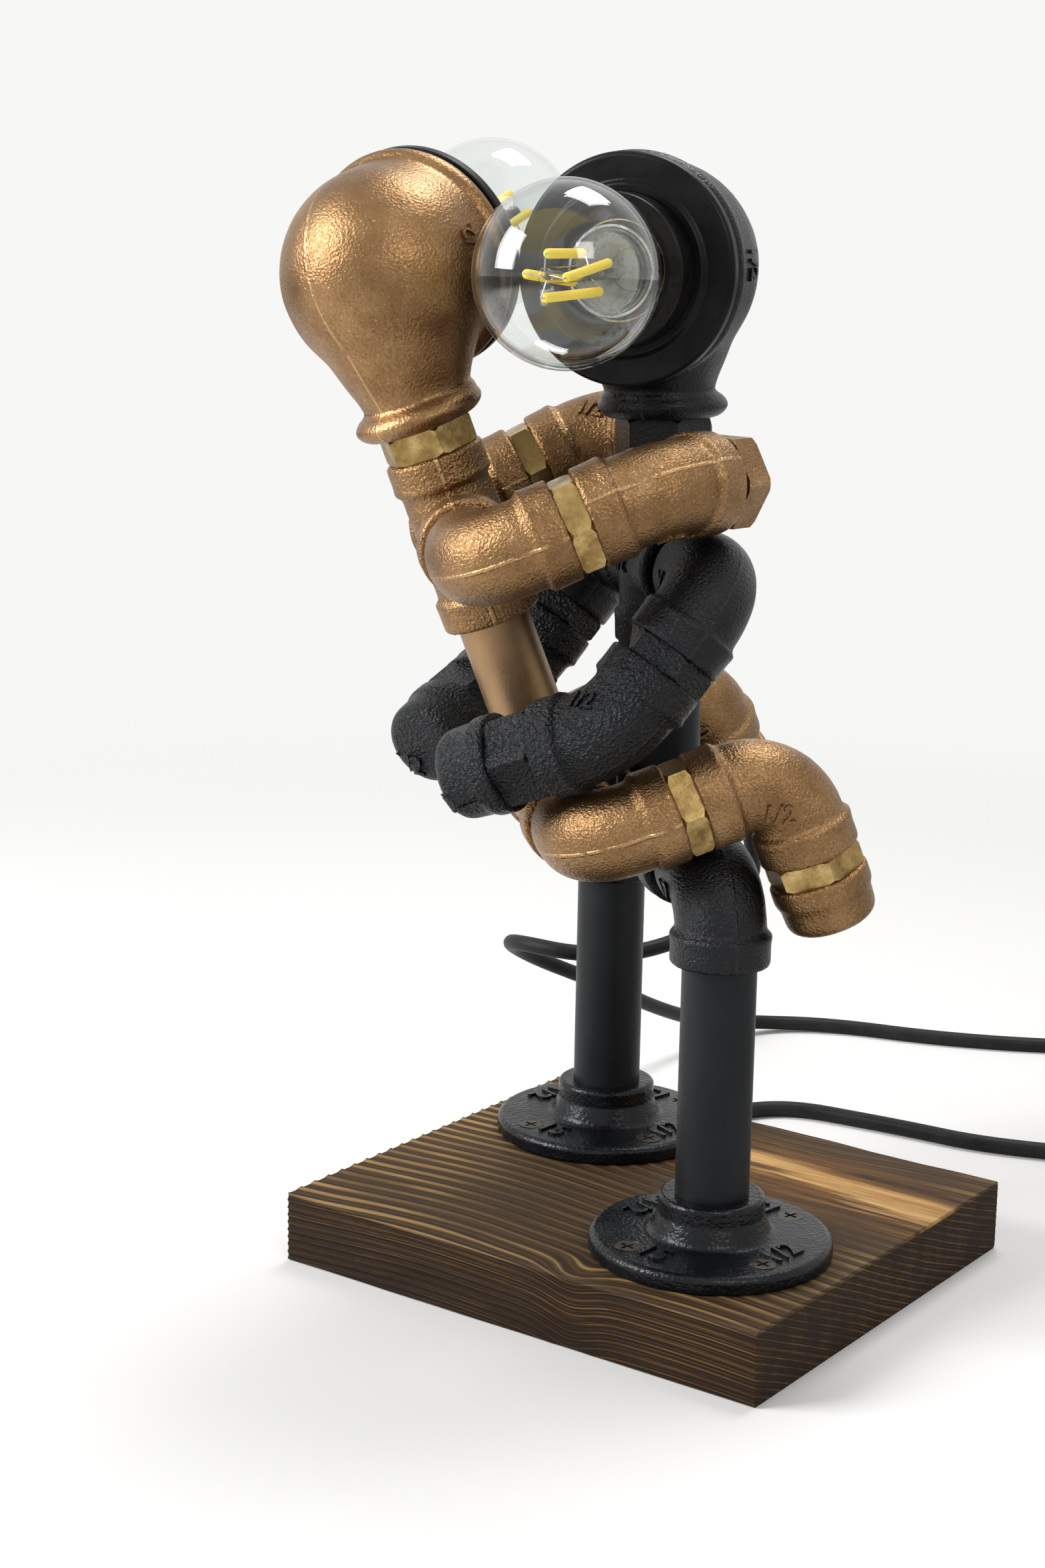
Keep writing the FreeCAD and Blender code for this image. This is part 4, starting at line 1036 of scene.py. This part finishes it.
button = moulded_plastic("rocker_black", (0.02, 0.02, 0.02), (0.032, 0.032, 0.032), 0.22)
cap = plain_metal("nickelled_cap", (0.50, 0.49, 0.46), (0.66, 0.65, 0.61), 0.2)
contact = plain_metal("contact_brass", (0.55, 0.42, 0.18), (0.68, 0.55, 0.28), 0.24)
wire = plain_metal("lead_wire", (0.42, 0.42, 0.41), (0.6, 0.6, 0.58), 0.25)
glass = clear_glass()
yellow = stick_yellow()
for who in WHO:
    finish_with(shade, who + "_shade_ring")
    finish_with(holder, who + "_lampholder")
    finish_with(contact, who + "_holder_contacts", who + "_bulb_contact")
    finish_with(cap, who + "_bulb_cap")
    finish_with(glass, who + "_bulb_glass")
    filament_set(who, (yellow, wire, glass))
    finish_with(fitting, who + "_plug", who + "_switch_case", who + "_strain_relief")
    finish_with(button, who + "_switch_rocker")
finish_with(cable, "inner_cables")
for piece in leads:
    piece.data.materials.append(cable)

# ---------------------------------------------------------------- floor and light
WHITE = (0.93, 0.93, 0.92, 1)
DIM = (0.95, 0.97, 1, 1)    # the room's own light on the lamp
DIM_STRENGTH = 0.34
FLOOR_REACH = 6.0           # each way from the lamp
PALE_FROM, PALE_TO = 0.25, 0.95     # where the floor fades into the white behind it


def floor_finish():
    """A pale floor that fades into the white room behind the lamp."""
    s = Shader("pale_floor")
    cloud = s.noise(0.4)
    surface = s.node("BsdfPrincipled", {
        "Base Color": s.mix(cloud, (0.74, 0.73, 0.71), (0.78, 0.77, 0.75)), "Roughness": 0.7,
    })
    seen = s.node("LightPath", output="Is Camera Ray")
    away = s.node("VectorMath", {0: s.place()}, "Value", operation="LENGTH")
    white = s.node("Emission", {"Color": WHITE, "Strength": 1.0})
    fade = s.fade(away, PALE_FROM, PALE_TO) * seen
    return s.output(s.node("MixShader", {0: fade, 1: surface, 2: white}))


def white_room():
    """A world that looks white, also in metal and glass, and lights the lamp only a little."""
    s = Shader("room", "World")
    seen = s.node("LightPath", output="Is Camera Ray")
    for kind in ("Is Glossy Ray", "Is Transmission Ray"):
        seen = s.math("MAXIMUM", seen, s.node("LightPath", output=kind))
    dim = s.node("Background", {"Color": DIM, "Strength": DIM_STRENGTH})
    white = s.node("Background", {"Color": WHITE, "Strength": 1.0})
    return s.output(s.node("MixShader", {0: seen, 1: dim, 2: white}))


def softbox(name, place, aim, size, power, colour):
    data = bpy.data.lights.new(name, "AREA")
    data.shape = "RECTANGLE"
    data.size, data.size_y = size
    data.energy = power
    data.color = colour
    lamp = placed(name, data)
    lamp.location = place
    lamp.rotation_euler = (Vector(aim) - Vector(place)).to_track_quat("-Z", "Y").to_euler()


mesh = bmesh.new()
bmesh.ops.create_grid(mesh, x_segments=1, y_segments=1, size=FLOOR_REACH)
floor = piece_of("floor", mesh)
floor.data.materials.append(floor_finish())
bpy.context.scene.world = white_room()
softbox("window", (-1.15, 0.1, 0.75), (0, 0, 0.18), (0.6, 0.8), 22, (0.97, 0.98, 1))
softbox("front", (0.15, -1.3, 1.0), (0, 0, 0.2), (0.5, 0.5), 5, (1, 0.98, 0.95))
softbox("above", (0.3, 0.3, 1.25), (0, 0, 0.2), (0.45, 0.45), 9, (1, 1, 1))
